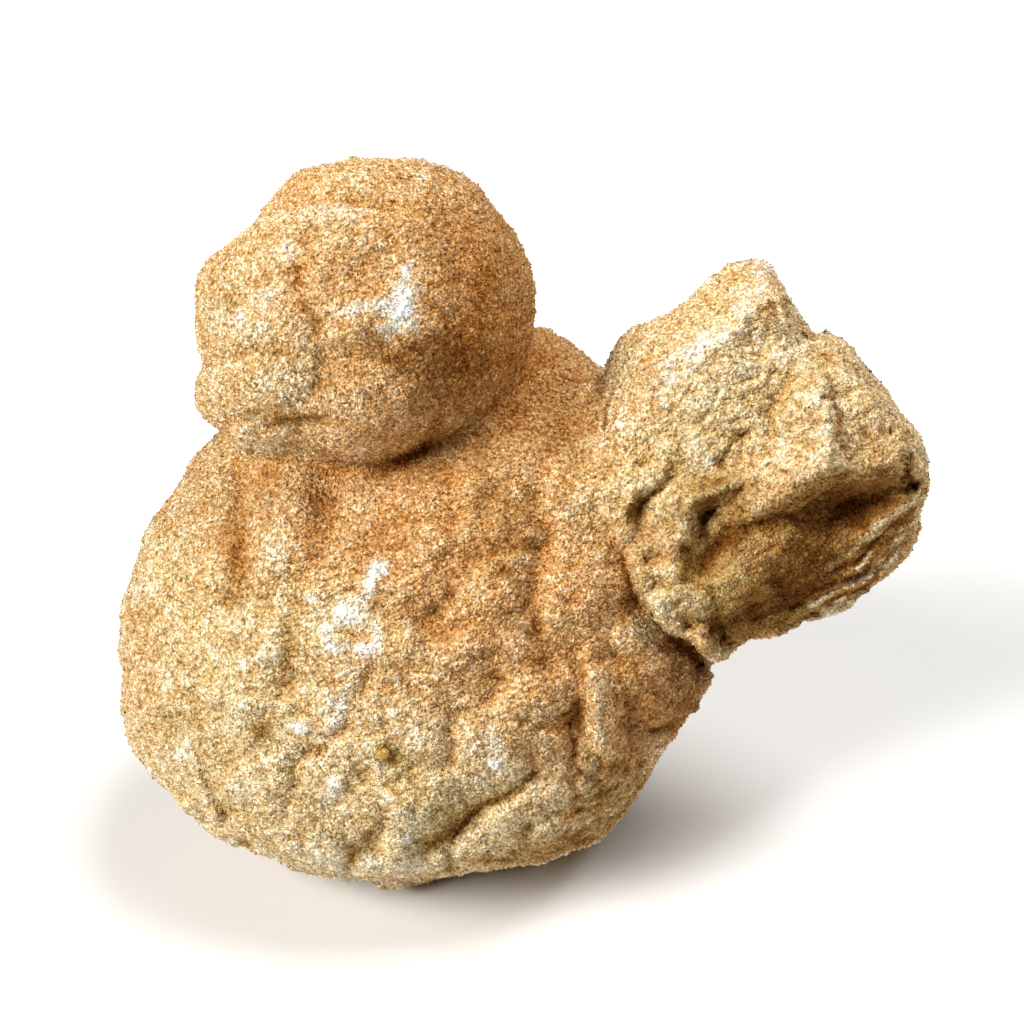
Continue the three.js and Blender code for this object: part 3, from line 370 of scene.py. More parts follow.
    ('ledge', 'rock', [(841, 460), (836, 442), (836, 420), (829, 402), (829, 378)], 9, 2.4),
    ('crack', 'rock', [(829, 378), (829, 402), (836, 420), (836, 442), (841, 458)], 3, 3),
    ('dome', 'rock', (826, 410), (6, 8), 0, 2), ('dome', 'rock', (826, 440), (8, 12), 0, 3),
    ('crack', 'rock', [(781, 402), (772, 424), (764, 436)], 4, 3),
    ('pit', 'rock', (748, 330), (8, 10), 0, 2), ('pit', 'rock', (768, 372), (8, 6), 0, 3),
    ('pit', 'rock', (760, 360), (7, 5), 0, 3), ('pit', 'rock', (742, 400), (8, 7), 0, 3),
    ('ledge', 'rock', [(628, 540), (627, 524), (630, 506), (638, 494), (650, 487)], 7, 1.6), ('ledge', 'rock', [(650, 487), (661, 478), (669, 465), (674, 448)], 6, 1.0),
    ('ledge', 'rock', [(690, 508), (697, 500), (707, 495), (720, 491), (733, 486), (747, 482)], 8, 2.2),
    ('ledge', 'rock', [(696, 514), (701, 506), (710, 501), (722, 498)], 5, 1.6),
    ('ledge', 'rock', [(728, 508), (734, 515), (742, 518), (750, 517)], 6, 1.6), ('ledge', 'rock', [(690, 566), (692, 548), (686, 527), (690, 508)], 6, 1.8), ('pit', 'rock', (721, 531), (17, 10), 35, 1.5),
    ('ledge', 'rock', [(752, 514), (768, 508), (782, 500), (796, 489), (806, 482), (818, 477), (831, 470), (840, 465)], 8, 1.3),
    ('pit', 'rock', (706, 510), (6, 9), -30, 3), ('crack', 'rock', [(702, 518), (703, 530), (700, 542)], 4, 2),
    ('crack', 'rock', [(690, 540), (686, 556), (683, 578)], 3.5, 4), ('pit', 'rock', (850, 498), (24, 9), 8, 4),
    ('ledge', 'rock', [(857, 557), (866, 547), (874, 537), (884, 525), (897, 512)], 6, 2.6), ('crack', 'rock', [(896, 514), (885, 526), (875, 538), (867, 548), (858, 558)], 3.6, 5),
    ('ledge', 'rock', [(818, 596), (842, 583), (862, 571), (877, 559), (886, 547), (897, 531), (911, 514)], 6, 3.0),
    ('crack', 'rock', [(912, 516), (898, 533), (887, 549), (879, 561), (864, 573), (844, 585), (820, 597)], 3.6, 6),
    ('ridge', 'rock', [(880, 549), (871, 557), (862, 567), (851, 574)], 5, 5),
    ('ridge', 'rock', [(894, 562), (885, 568), (876, 577), (862, 583), (846, 588), (826, 600), (806, 608), (794, 613)], 7, 9),
    ('ledge', 'rock', [(806, 614), (828, 606), (846, 595), (863, 589), (880, 580)], 6, 3.0),
    ('crack', 'rock', [(882, 582), (864, 591), (847, 597), (829, 608), (810, 615)], 3.8, 7),
    ('crack', 'rock', [(848, 562), (822, 579), (797, 590), (770, 600)], 4, 5),
    ('crack', 'rock', [(836, 580), (814, 592), (786, 603)], 3.4, 4.5),
    ('crack', 'rock', [(904, 538), (893, 551), (886, 560)], 3.4, 6), ('crack', 'rock', [(760, 618), (786, 608), (806, 598)], 3.6, 5),
    ('ledge', 'rock', [(760, 600), (790, 588), (815, 574)], 6, 1.5),
    ('crack', 'rock', [(905, 455), (909, 470), (908, 485)], 4.5, 8), ('ridge', 'rock', [(915, 442), (920, 464), (920, 490), (915, 506)], 6, 4),
    ('ledge', 'rock', [(650, 592), (648, 574), (643, 560), (637, 548)], 6, 1.8),
    ('ridge', 'rock', [(637, 550), (641, 580), (652, 604), (668, 622), (686, 636)], 6, 4),
    ('pit', 'rock', (720, 632), (9, 12), 25, 15), ('pit', 'rock', (706, 618), (9, 5), 0, 4), ('pit', 'rock', (736, 622), (10, 8), 0, 4),
    ('pit', 'rock', (687, 626), (4, 5), 0, 4), ('ridge', 'rock', [(697, 634), (703, 648), (709, 661)], 8, 10),
    ('crack', 'rock', [(652, 598), (672, 602), (696, 598)], 3.5, 2), ('pit', 'rock', (668, 560), (9, 6), 0, 2),
    ('pit', 'rock', (672, 534), (5, 9), 0, 2), ('dome', 'rock', (728, 590), (24, 12), 20, 2),
    ('dome', 'rock', (800, 450), (22, 24), 0, 3), ('dome', 'rock', (764, 478), (20, 12), 0, 3),
    ('dome', 'rock', (870, 478), (16, 7), 5, 3), ('crack', 'rock', [(846, 350), (860, 366), (878, 384)], 4, 3),
    ('pit', 'rock', (866, 436), (10, 6), 0, 3), ('pit', 'rock', (888, 432), (9, 6), 0, 3),
]

# Control points of the knob's front: px across and down the view, px towards the camera
# from the knob's own middle plane.
NET = [
    (560, 330, -70), (600, 300, -70), (660, 270, -70), (720, 225, -70), (780, 215, -70), (830, 280, -70), (880, 320, -70),
    (930, 380, -70), (975, 450, -70), (975, 520, -70), (940, 590, -70), (880, 640, -70), (820, 665, -70), (760, 690, -70),
    (700, 710, -60), (650, 690, -40), (590, 650, -20), (530, 600, 0), (505, 540, 30), (500, 470, 20), (530, 400, -60),
    (606, 362, 4), (612, 340, 8), (640, 323, 10), (674, 309, 8), (706, 282, 8), (735, 265, 8), (765, 258, 8),
    (787, 290, 24), (802, 317, 24), (808, 334, 26), (835, 335, 30), (863, 364, 42), (889, 399, 56), (918, 435, 54),
    (929, 471, 36), (927, 506, 6), (923, 536, 4), (909, 563, 2), (886, 583, 2), (862, 602, 2), (832, 616, 0),
    (804, 620, 0), (765, 641, 0), (739, 651, 6), (714, 667, 30), (599, 384, 10), (587, 425, 26), (574, 450, 50),
    (560, 466, 70), (546, 482, 76), (540, 500, 80), (545, 520, 74), (765, 270, 24), (740, 282, 30), (715, 298, 36),
    (692, 312, 40), (670, 326, 40), (648, 338, 40), (628, 350, 30), (779, 298, 54), (763, 303, 70), (747, 313, 84),
    (738, 326, 92), (722, 338, 98), (700, 345, 98), (682, 351, 95), (664, 361, 90), (652, 376, 86), (645, 396, 86),
    (638, 420, 90), (757, 324, 82), (768, 318, 74), (785, 330, 66), (800, 346, 60), (748, 338, 88), (760, 350, 88),
    (778, 352, 82), (795, 365, 84), (700, 362, 104), (730, 362, 104), (760, 370, 98), (700, 400, 106), (730, 400, 104),
    (752, 396, 103), (690, 420, 103), (668, 400, 98), (658, 430, 96), (682, 446, 99), (700, 440, 104), (726, 438, 103),
    (742, 420, 102), (775, 388, 96), (785, 396, 96), (768, 412, 97), (776, 430, 102), (790, 416, 107), (812, 396, 112),
    (824, 382, 108), (829, 418, 121), (832, 448, 127), (828, 466, 127), (760, 456, 110), (742, 456, 102), (770, 480, 117),
    (800, 474, 125), (750, 500, 115), (715, 468, 102), (690, 472, 98), (722, 484, 104), (832, 382, 96), (832, 400, 104),
    (838, 420, 108), (843, 440, 110), (845, 458, 110), (815, 352, 62), (818, 366, 84), (840, 352, 58), (845, 375, 88),
    (858, 385, 86), (858, 410, 101), (862, 435, 103), (872, 400, 90), (880, 420, 94), (882, 440, 96), (895, 425, 82),
    (902, 445, 84), (914, 450, 68), (918, 461, 62), (915, 482, 30), (830, 520, 62), (856, 508, 52), (882, 500, 50),
    (905, 492, 42), (800, 565, 74), (830, 550, 68), (858, 538, 64), (882, 520, 60), (903, 504, 54), (917, 498, 34),
    (815, 598, 36), (845, 580, 42), (870, 561, 44), (895, 538, 38), (911, 520, 24), (780, 600, 58), (760, 622, 38),
    (790, 613, 22), (820, 606, 18), (775, 583, 64), (752, 606, 51), (800, 588, 54), (790, 532, 95), (774, 558, 92),
    (757, 582, 89), (738, 601, 81), (718, 611, 72), (740, 560, 97), (750, 543, 94), (728, 580, 96), (700, 600, 94),
    (680, 590, 97), (668, 570, 97), (658, 545, 95), (664, 522, 98), (672, 617, 83), (692, 628, 72), (705, 622, 73),
    (635, 548, 90), (639, 578, 90), (648, 600, 83), (662, 620, 79), (680, 635, 74), (696, 645, 82), (706, 659, 64),
    (704, 645, 78), (720, 632, 52), (625, 548, 86), (628, 590, 62), (641, 614, 36), (657, 634, 30), (676, 650, 26),
    (694, 664, 24), (625, 395, 66), (620, 420, 82), (606, 440, 80), (625, 450, 91), (598, 460, 82), (586, 478, 86),
    (606, 490, 96), (632, 474, 100), (618, 510, 96), (612, 540, 86), (600, 555, 76), (575, 500, 88), (566, 486, 82),
    (588, 515, 86), (672, 500, 101), (692, 580, 90), (678, 570, 98), (673, 449, 101), (678, 451, 100), (669, 465, 100),
    (674, 468, 98), (661, 478, 100), (666, 483, 96), (650, 487, 99), (652, 494, 89), (638, 493, 101), (641, 499, 84),
    (630, 505, 100), (636, 508, 84), (627, 520, 97), (633, 522, 84), (629, 535, 92), (635, 537, 87), (646, 508, 88),
    (645, 522, 88), (650, 500, 91), (655, 510, 95), (641, 556, 87), (646, 562, 85), (645, 573, 90), (651, 580, 85),
    (655, 600, 93), (747, 482, 110), (733, 486, 108), (720, 491, 108), (707, 495, 106), (697, 500, 105), (690, 508, 103),
    (686, 520, 100), (684, 536, 99), (738, 494, 101), (722, 498, 98), (710, 500, 95), (702, 505, 91), (696, 512, 89),
    (692, 524, 89), (690, 540, 90), (712, 506, 80), (705, 510, 77), (701, 518, 78), (703, 530, 81), (707, 538, 84),
    (724, 505, 93), (736, 503, 100), (722, 516, 87), (732, 517, 92), (716, 526, 84), (748, 516, 103), (738, 521, 93),
    (726, 528, 86), (716, 536, 83), (708, 545, 83), (750, 525, 90), (738, 530, 88), (728, 537, 84), (716, 546, 81),
    (708, 556, 81), (702, 568, 82), (698, 580, 86), (676, 545, 98), (681, 560, 95), (684, 578, 97), (690, 556, 85),
    (689, 572, 90), (740, 545, 91), (724, 556, 89), (714, 568, 88), (708, 582, 92), (752, 512, 111), (768, 506, 119),
    (782, 498, 124), (796, 487, 127), (806, 480, 127), (818, 475, 127), (831, 468, 126), (840, 463, 116), (755, 522, 93),
    (770, 517, 97), (784, 511, 99), (796, 502, 105), (808, 494, 107), (822, 488, 103), (838, 480, 100), (862, 468, 104),
    (884, 466, 96), (900, 462, 88), (862, 480, 92), (884, 478, 82), (800, 522, 86), (816, 512, 78), (834, 505, 66),
    (850, 498, 58), (870, 491, 60), (890, 487, 58), (902, 484, 52), (902, 452, 86), (905, 460, 62), (906, 475, 50),
    (913, 462, 66), (915, 475, 60),
]

# Chalky white patches: centre px, radii px, turn in degrees, strength.
WHITE = [
    ((402, 316), (14, 14), 0, 1.2), ((404, 290), (13, 18), 10, 0.8), ((408, 270), (9, 8), 0, 0.6), ((384, 308), (14, 8), 10, 0.8),
    ((356, 309), (16, 8), 8, 0.75),
    ((376, 573), (8, 15), -30, 1.3), ((368, 592), (6, 10), -15, 0.9), ((352, 604), (18, 8), 0, 0.8), ((358, 616), (17, 10), 0, 1.3),
    ((340, 620), (7, 10), 0, 0.8), ((310, 599), (8, 4), -25, 0.9), ((320, 608), (9, 4), -35, 0.8), ((330, 630), (7, 11), 0, 0.7),
    ((338, 647), (13, 7), 0, 1.0), ((366, 648), (12, 8), 0, 1.0), ((377, 634), (7, 12), 0, 1.0), ((352, 638), (8, 6), 0, -0.7),
    ((300, 730), (9, 8), 0, 1.0), ((242, 705), (6, 6), 0, 0.8), ((176, 757), (10, 7), 0, 0.9),
    ((189, 748), (6, 11), 0, 0.55), ((333, 716), (14, 17), 20, 0.6), ((345, 704), (6, 12), 0, 0.6),
    ((334, 788), (7, 11), 10, 0.9), ((491, 742), (10, 20), -12, 0.85), ((494, 768), (6, 12), 0, 0.55),
    ((418, 833), (14, 9), 40, 0.7), ((208, 795), (5, 12), -25, 0.5), ((405, 808), (6, 5), 0, 0.6),
    ((390, 798), (5, 6), 0, 0.6), ((388, 732), (6, 5), 0, 0.6), ((405, 866), (18, 9), 0, 0.45),
    ((275, 550), (10, 16), 0, 0.55), ((262, 655), (9, 7), 0, 0.5), ((240, 664), (5, 9), 0, 0.6),
    ((237, 318), (8, 10), 0, 0.55), ((250, 326), (9, 6), 0, 0.45), ((265, 297), (9, 9), 0, 0.5),
    ((325, 217), (26, 12), 10, 0.38), ((288, 252), (9, 9), 0, 0.55), ((345, 214), (20, 8), 0, 0.3),
    ((720, 336), (18, 9), 20, 0.75), ((745, 300), (16, 14), 40, 0.45), ((762, 268), (12, 12), 0, 0.5),
    ((690, 352), (24, 8), 25, 0.5), ((668, 378), (9, 14), 0, 0.7), ((690, 443), (8, 10), 20, 0.7),
    ((708, 467), (6, 7), 0, 0.6), ((822, 436), (9, 14), 0, 0.5), ((800, 475), (10, 8), 0, 0.35),
     ((245, 785), (18, 16), 0, 0.35), ((352, 309), (12, 6), 8, 0.3), ((393, 330), (14, 9), 20, 0.7),
    ((330, 862), (34, 10), -12, 0.4), ((150, 520), (10, 14), 0, 0.4), ((140, 590), (18, 14), 0, 0.3),
]
# Cream (+) and orange (-) ground, partly the stone's own colour and partly painted light and shade: cream lightens
# shaded places under the head, at the neck and on the knob's left edge, orange darkens the shaded right of the head,
# the shoulder and the place under the head: centre px, radii px, turn in degrees, strength.
GROUND_LIGHT_AND_SHADE = [
    ((230, 640), (110, 80), 0, 0.66), ((200, 760), (100, 80), 0, 0.6), ((330, 820), (150, 80), 0, 0.7),
    ((450, 830), (120, 50), 0, 0.45), ((510, 800), (90, 50), 0, 0.35), ((420, 740), (90, 60), 0, 0.35),
    ((225, 320), (60, 80), 0, 0.6), ((270, 390), (55, 40), 0, 0.35), ((740, 380), (120, 110), 0, 0.85),
    ((620, 480), (80, 60), 0, 0.6), ((870, 430), (50, 70), 0, 0.35), ((700, 600), (90, 60), 0, 0.4),
    ((150, 560), (50, 60), 0, 0.5), ((275, 550), (26, 40), 0, 0.6), ((600, 700), (24, 60), 0, 0.05),
    ((345, 620), (60, 40), 0, 0.4), ((598, 715), (10, 50), -8, 0.3), ((320, 230), (60, 30), 0, 0.3),
    ((480, 280), (70, 90), 0, -0.55), ((560, 400), (90, 80), 0, -0.5), ((420, 520), (120, 60), 0, -0.12),
    ((240, 560), (20, 50), 0, -0.5), ((320, 520), (24, 50), 0, -0.3), ((450, 600), (70, 60), 0, -0.15),
    ((545, 600), (40, 80), 0, -0.28), ((660, 690), (60, 60), 0, -0.5), ((400, 180), (80, 26), 0, 0.15),
    ((350, 270), (34, 26), 0, -0.05), ((400, 440), (60, 30), 0, -0.4), ((480, 365), (46, 46), 0, -0.4), ((850, 395), (44, 46), 0, -0.3), ((620, 595), (26, 30), 0, -0.35),
    ((725, 535), (44, 44), 0, 0.25), ((578, 430), (24, 50), 0, 0.2), ((618, 370), (18, 40), 0, 0.5), ((270, 450), (50, 12), 0, 0.5), ((200, 490), (34, 22), 0, 0.35), ((140, 540), (20, 40), 20, 0.35), ((645, 632), (12, 10), 0, 0.4), ((800, 585), (60, 34), 22, -0.0), ((655, 610), (18, 30), -40, 0.7), ((720, 592), (18, 12), 20, 0.3), ((560, 620), (22, 18), 0, 0.3), ((595, 775), (12, 18), 0, 0.35), ((512, 850), (20, 10), 0, 0.3), ((620, 660), (20, 20), 0, 0.2),
]
# Painted shade: darker, browner colour where shade falls, in hollows, pits and cracks, under the head, on the head's
# right side and on the knob's brown underside: centre px, radii px, turn in degrees, strength.
PAINTED_SHADE = [
    ((712, 575), (44, 40), 0, 0.2), ((640, 565), (26, 46), 0, 0.12), ((705, 500), (46, 30), 15, 0.25), ((722, 545), (30, 24), 40, 0.35), ((735, 490), (24, 16), 0, 0.2),
    ((450, 365), (42, 40), 0, 0.44), ((415, 475), (16, 14), 0, 0.25), ((465, 470), (60, 26), 0, 0.1), ((505, 555), (14, 14), 0, 0.2), ((505, 620), (10, 14), 0, 0.2), ((600, 470), (26, 10), 0, 0.12), ((710, 490), (34, 12), 15, 0.25), ((740, 512), (14, 10), 0, 0.25), ((702, 572), (12, 14), 30, 0.3), ((865, 520), (16, 10), 20, 0.2), ((440, 825), (22, 20), 0, 0.15), ((566, 440), (18, 36), 0, 0.22), ((500, 515), (36, 40), 0, 0.16), ((470, 560), (26, 16), 0, 0.12), ((625, 800), (44, 40), 0, 0.25), ((565, 848), (60, 14), 12, 0.4), ((690, 715), (24, 30), 0, 0.2), ((180, 720), (18, 16), 0, 0.14), ((240, 690), (18, 18), 0, 0.1), ((412, 775), (10, 14), 0, 0.15), ((320, 398), (10, 16), 0, 0.2), ((415, 400), (12, 20), 0, 0.12), ((805, 440), (14, 12), 0, 0.12), ((825, 365), (20, 18), 0, 0.18), ((862, 440), (16, 14), 0, 0.12),
    ((855, 500), (64, 26), 12, 1.0), ((800, 585), (72, 32), 22, 0.85), ((772, 520), (28, 9), 15, 0.6), ((820, 500), (26, 12), 25, 0.45), ((776, 612), (40, 18), 20, 0.4),
    ((810, 540), (50, 30), 20, 0.5), ((880, 545), (40, 14), 42, 0.25), ((637, 505), (6, 14), -28, 0.7),
    ((706, 510), (8, 10), -30, 0.8), ((704, 528), (5, 12), 0, 0.5), ((688, 560), (4, 20), -8, 0.4), ((708, 556), (9, 16), -20, 0.4),
    ((730, 534), (18, 8), 35, 0.5), ((720, 630), (11, 15), 25, 0.8), ((740, 622), (26, 12), 10, 0.3),
    ((689, 649), (14, 8), -38, 1.6), ((632, 602), (10, 15), 0, 0.4),
    ((742, 434), (9, 6), 10, 0.6), ((726, 452), (5, 12), -30, 0.35), ((412, 453), (30, 8), 32, 0.45),
    ((380, 472), (20, 6), 20, 0.3), ((437, 430), (8, 14), -20, 0.4), ((572, 713), (11, 18), -30, 0.6),
    ((552, 727), (12, 5), 15, 0.4), ((628, 725), (13, 32), 8, 0.2), ((618, 768), (18, 6), 5, 0.6),
    ((455, 827), (26, 8), 38, 0.7), ((497, 798), (26, 6), 30, 0.4), ((430, 843), (14, 5), 15, 0.5),
    ((466, 802), (4, 12), 0, 0.4), ((352, 853), (9, 9), 0, 0.7), ((369, 838), (7, 7), 0, 0.6),
    ((260, 735), (8, 12), 0, 0.45), ((269, 729), (5, 5), 0, 0.4), ((236, 560), (13, 46), 0, 0.25), ((321, 520), (14, 44), 6, 0.08),
    ((508, 570), (9, 5), 0, 0.5), ((436, 612), (6, 6), 0, 0.5), ((449, 597), (4, 8), 0, 0.35),
    ((298, 417), (24, 4), 3, 0.65), ((279, 421), (5, 5), 0, 0.4), ((253, 415), (6, 4), 0, 0.7),
    ((391, 757), (11, 9), 0, 0.7), ((246, 843), (6, 6), 0, 0.6), ((388, 362), (10, 4), 0, 0.5),
    ((405, 366), (10, 7), 15, 0.45), ((416, 350), (9, 5), 0, 0.4), ((532, 549), (12, 7), -15, 0.35),
    ((290, 648), (10, 38), 0, 0.32),
    ((533, 628), (6, 9), 0, 0.35), ((538, 660), (12, 6), 0, 0.35), ((375, 606), (8, 9), 0, 0.3),
    ((661, 727), (14, 6), 10, 0.4), ((575, 838), (20, 7), 8, 0.5), ((450, 868), (6, 11), 0, 0.5),
    ((500, 857), (24, 4), 0, 0.5), ((228, 811), (11, 7), 0, 0.3), ((486, 682), (13, 15), 0, 0.25),
    ((452, 757), (7, 8), 0, 0.15), ((911, 473), (4, 18), 0, 0.5), ((768, 310), (20, 6), 30, 0.25),
    ((832, 392), (5, 12), 0, 0.3), ((838, 434), (5, 14), 0, 0.3), 
    ((670, 460), (8, 22), -28, 0.25), ((600, 800), (10, 20), 0, 0.25), ((318, 326), (4, 9), 0, 0.25),
    ((298, 282), (4, 10), 0, 0.2), ((640, 560), (5, 10), 0, 0.1), ((700, 690), (30, 50), 0, 0.15),
]
# Smooth, less wrinkled ground: centre px, radii px, turn in degrees, strength.
CALM = [
    ((715, 300), (75, 40), 35, 1.0), ((618, 400), (30, 80), -15, 0.9), ((590, 490), (60, 40), 0, 0.7),
    ((840, 520), (80, 34), 15, 0.9), ((800, 590), (70, 30), 15, 0.6), ((400, 180), (120, 34), 0, 0.7),
    ((190, 480), (50, 60), 0, 0.7), ((220, 300), (40, 80), 0, 0.6), ((560, 390), (70, 70), 0, 0.7),
    ((270, 550), (24, 44), 0, 0.5), ((598, 715), (12, 55), -8, 1.0), ((340, 520), (60, 60), 0, 0.5), ((680, 700), (40, 70), 0, 0.6), ((150, 620), (40, 120), 0, 0.5),
]
# The beds that show at the knob's lower right edge: path px, width px, pale (+) or dark (-); the pale lines are partly
# the beds' own colour and partly painted light, the dark lines are painted shade under each bed.
SEAMS = [
    ([(921, 499), (902, 509), (884, 521), (868, 537), (850, 552), (830, 566)], 4, 0.35),
    ([(922, 502), (910, 511), (896, 522), (883, 534), (872, 543), (862, 549)], 2.2, -0.6),
    ([(914, 511), (901, 524), (891, 537), (880, 545), (872, 555)], 2.0, -0.5),
    ([(917, 514), (906, 526), (898, 538), (890, 546)], 2.0, 0.4),
    ([(871, 553), (863, 562), (857, 569)], 2.4, 0.9), ([(897, 551), (891, 561), (883, 570)], 2.4, 0.8),
    ([(882, 560), (875, 571), (864, 578), (849, 583), (836, 590), (822, 598), (812, 606)], 2.8, 1.0),
    ([(872, 561), (862, 571), (848, 577), (832, 583), (815, 590)], 1.8, -0.6),
    ([(878, 577), (866, 585), (854, 590), (840, 596), (826, 603)], 2.0, -0.8),
    ([(868, 587), (854, 594), (839, 602), (824, 608)], 2.4, 0.7), ([(853, 604), (838, 611), (822, 616)], 2.4, 0.8),
    ([(856, 573), (837, 584), (817, 588), (801, 595), (780, 599)], 2.0, -0.45),
    ([(800, 604), (780, 609), (764, 616), (750, 622)], 2.2, -0.4), ([(798, 608), (780, 614), (766, 620)], 2.2, 0.35),
    ([(629, 522), (627, 510), (632, 500), (640, 491)], 3.0, -0.45), ([(683, 545), (681, 560), (683, 580)], 3.0, -0.4),
    ([(687, 505), (697, 498), (710, 494), (724, 490), (736, 485)], 2.2, 0.25), ([(690, 509), (699, 502), (712, 498), (726, 495)], 2.0, -0.5),
    ([(735, 545), (748, 535), (758, 526)], 3.0, -0.4), ([(700, 570), (712, 556), (726, 545)], 5.0, -0.35),
]


# ------------------------------------------------------------------ small maths
def smooth(a, b, x):
    t = np.clip((x - a) / (b - a), 0, 1)
    return t * t * (3 - 2 * t)


def smin(a, b, k):
    h = np.maximum(k - np.abs(a - b), 0) / k
    return np.minimum(a, b) - h * h * k * 0.25


def unit(v):
    return v / np.maximum(np.linalg.norm(v, axis=-1, keepdims=True), 1e-12)


def to_view(points):
    scale = VIEW_PX / (VIEW_PX - points[:, 2])
    return np.stack([512 + points[:, 0] * scale, 512 - points[:, 1] * scale], 1)


def hash3(cells, salt):
    """Three even random numbers, 0 to 1, for each whole-number cell."""
    c = cells.astype(np.int64)
    h = (c[..., 0] * 73856093) ^ (c[..., 1] * 19349663) ^ (c[..., 2] * 83492791) ^ (salt * 2654435761)
    h &= 0xFFFFFFFF
    out = []
    for _ in range(3):
        h = (h * 1664525 + 1013904223) & 0xFFFFFFFF
        h ^= h >> 15
        h = (h * 2246822519) & 0xFFFFFFFF
        h ^= h >> 13
        out.append((h & 0xFFFFFF) / float(0x1000000))
    return np.stack(out, -1)


def cells_near(points, size, salt):
    """Distance to the nearest and second nearest of points strewn one to a cell, and the
    nearest one's own random number."""
    p = points / size
    base = np.floor(p).astype(np.int64)
    first = np.full(len(p), 9.0)
    second = np.full(len(p), 9.0)
    name = np.zeros(len(p))
    for dx in (-1, 0, 1):
        for dy in (-1, 0, 1):
            for dz in (-1, 0, 1):
                cell = base + (dx, dy, dz)
                r = hash3(cell, salt)
                d = np.linalg.norm(cell + r - p, axis=1)
                closer = d < first
                second = np.where(closer, first, np.minimum(second, d))
                name = np.where(closer, hash3(cell, salt + 7)[:, 0], name)
                first = np.where(closer, d, first)
    return first, second, name


def noise(points, size, salt, octaves=1, fall=0.5):
    """Smooth value noise, about -1 to 1."""
    total, weight, norm = 0, 1.0, 0
    for o in range(octaves):
        p = points / size * 2 ** o
        base = np.floor(p).astype(np.int64)
        f = p - base
        f = f * f * f * (f * (f * 6 - 15) + 10)
        v = 0
        for dx in (0, 1):
            for dy in (0, 1):
                for dz in (0, 1):
                    w = (f[:, 0] if dx else 1 - f[:, 0]) * (f[:, 1] if dy else 1 - f[:, 1]) * (f[:, 2] if dz else 1 - f[:, 2])
                    v = v + w * hash3(base + (dx, dy, dz), salt + 31 * o)[:, 0]
        total = total + weight * (2 * v - 1)
        norm += weight
        weight *= fall
    return total / norm * 1.6


def path_distance(xy, path):
    best = np.full(len(xy), 1e9)
    path = np.array(path, float)
    for a, b in zip(path[:-1], path[1:]):
        ab = b - a
        t = np.clip(((xy - a) @ ab) / (ab @ ab), 0, 1)
        best = np.minimum(best, np.linalg.norm(xy - a - t[:, None] * ab, axis=1))
    return best


def path_side(xy, path):
    """Signed distance to a path: + on its left as it runs (y down the view)."""
    best = np.full(len(xy), 1e9)
    sign = np.ones(len(xy))
    path = np.array(path, float)
    for a, b in zip(path[:-1], path[1:]):
        ab = b - a
        t = np.clip(((xy - a) @ ab) / (ab @ ab), 0, 1)
        d = np.linalg.norm(xy - a - t[:, None] * ab, axis=1)
        s = (xy[:, 0] - a[0]) * ab[1] - (xy[:, 1] - a[1]) * ab[0]
        near = d < best
        sign = np.where(near, np.sign(s), sign)
        best = np.minimum(best, d)
    return best * sign


def spot(xy, middle, radii, turn):
    c, s = math.cos(math.radians(turn)), math.sin(math.radians(turn))
    dx, dy = xy[:, 0] - middle[0], middle[1] - xy[:, 1]
    return ((dx * c + dy * s) / radii[0]) ** 2 + ((-dx * s + dy * c) / radii[1]) ** 2


def drawn_height(items, name):
    """The drawn relief of one lobe, in px, at every px of the view."""
    add = np.zeros((1024, 1024))
    top = np.zeros((1024, 1024))
    for item in items:
        if item[1] != name:
            continue
        kind = item[0]
        if kind in ('line', 'ridge', 'crack', 'ledge', 'cleft'):
            path, w, h = item[2:5]
            pts = np.array(path, float)
            lo, hi = pts.min(0) - 3.4 * w, pts.max(0) + 3.4 * w
        else:
            (x, y), (rx, ry), turn, h = item[2:6]
            reach = 2.6 * max(rx, ry)
            lo, hi = np.array([x - reach, y - reach]), np.array([x + reach, y + reach])
        lo = np.clip(np.floor(lo), 0, 1023).astype(int)
        hi = np.clip(np.ceil(hi), 0, 1023).astype(int)
        gx, gy = np.meshgrid(np.arange(lo[0], hi[0] + 1), np.arange(lo[1], hi[1] + 1))
        q = np.stack([gx.ravel(), gy.ravel()], 1).astype(float)
        # the drawn edges wander a little
        flat = np.c_[q, np.zeros(len(q))]
        q = q + 1.6 * np.stack([noise(flat, 11, 61), noise(flat, 11, 62)], 1)
        if kind == 'line':
            v = h * np.exp(-(path_distance(q, path) / w) ** 2)
        elif kind == 'ridge':
            v = h * np.clip(1 - path_distance(q, path) / w, 0, 1) ** 1.4
        elif kind in ('crack', 'cleft'):
            v = -h * np.exp(-(path_distance(q, path) / w) ** 1.5)
        elif kind == 'ledge':
            side = path_side(q, path)
            v = h * np.exp(-(np.abs(side) / w) ** 1.3) * np.clip(side / 0.9, -1, 1)
        elif kind == 'pit':
            v = -h * np.exp(-spot(q, (x, y), (rx, ry), turn) ** 1.5)
        elif kind == 'knob':
            v = h * np.exp(-spot(q, (x, y), (rx, ry), turn))
        box = (slice(lo[1], hi[1] + 1), slice(lo[0], hi[0] + 1))
        if kind == 'dome':
            v = h * np.sqrt(np.clip(1 - spot(q, (x, y), (rx * 1.12, ry * 1.12), turn), 0, 1))
            top[box] = np.maximum(top[box], v.reshape(gx.shape))
        else:
            add[box] += v.reshape(gx.shape)
    return add + top


def sample(sheet, xy):
    """A sheet's value at points of the view, straight between px."""
    x = np.clip(xy[:, 0], 0, 1022.999)
    y = np.clip(xy[:, 1], 0, 1022.999)
    i, j = x.astype(int), y.astype(int)
    u, v = x - i, y - j
    return (sheet[j, i] * (1 - u) + sheet[j, i + 1] * u) * (1 - v) + (sheet[j + 1, i] * (1 - u) + sheet[j + 1, i + 1] * u) * v


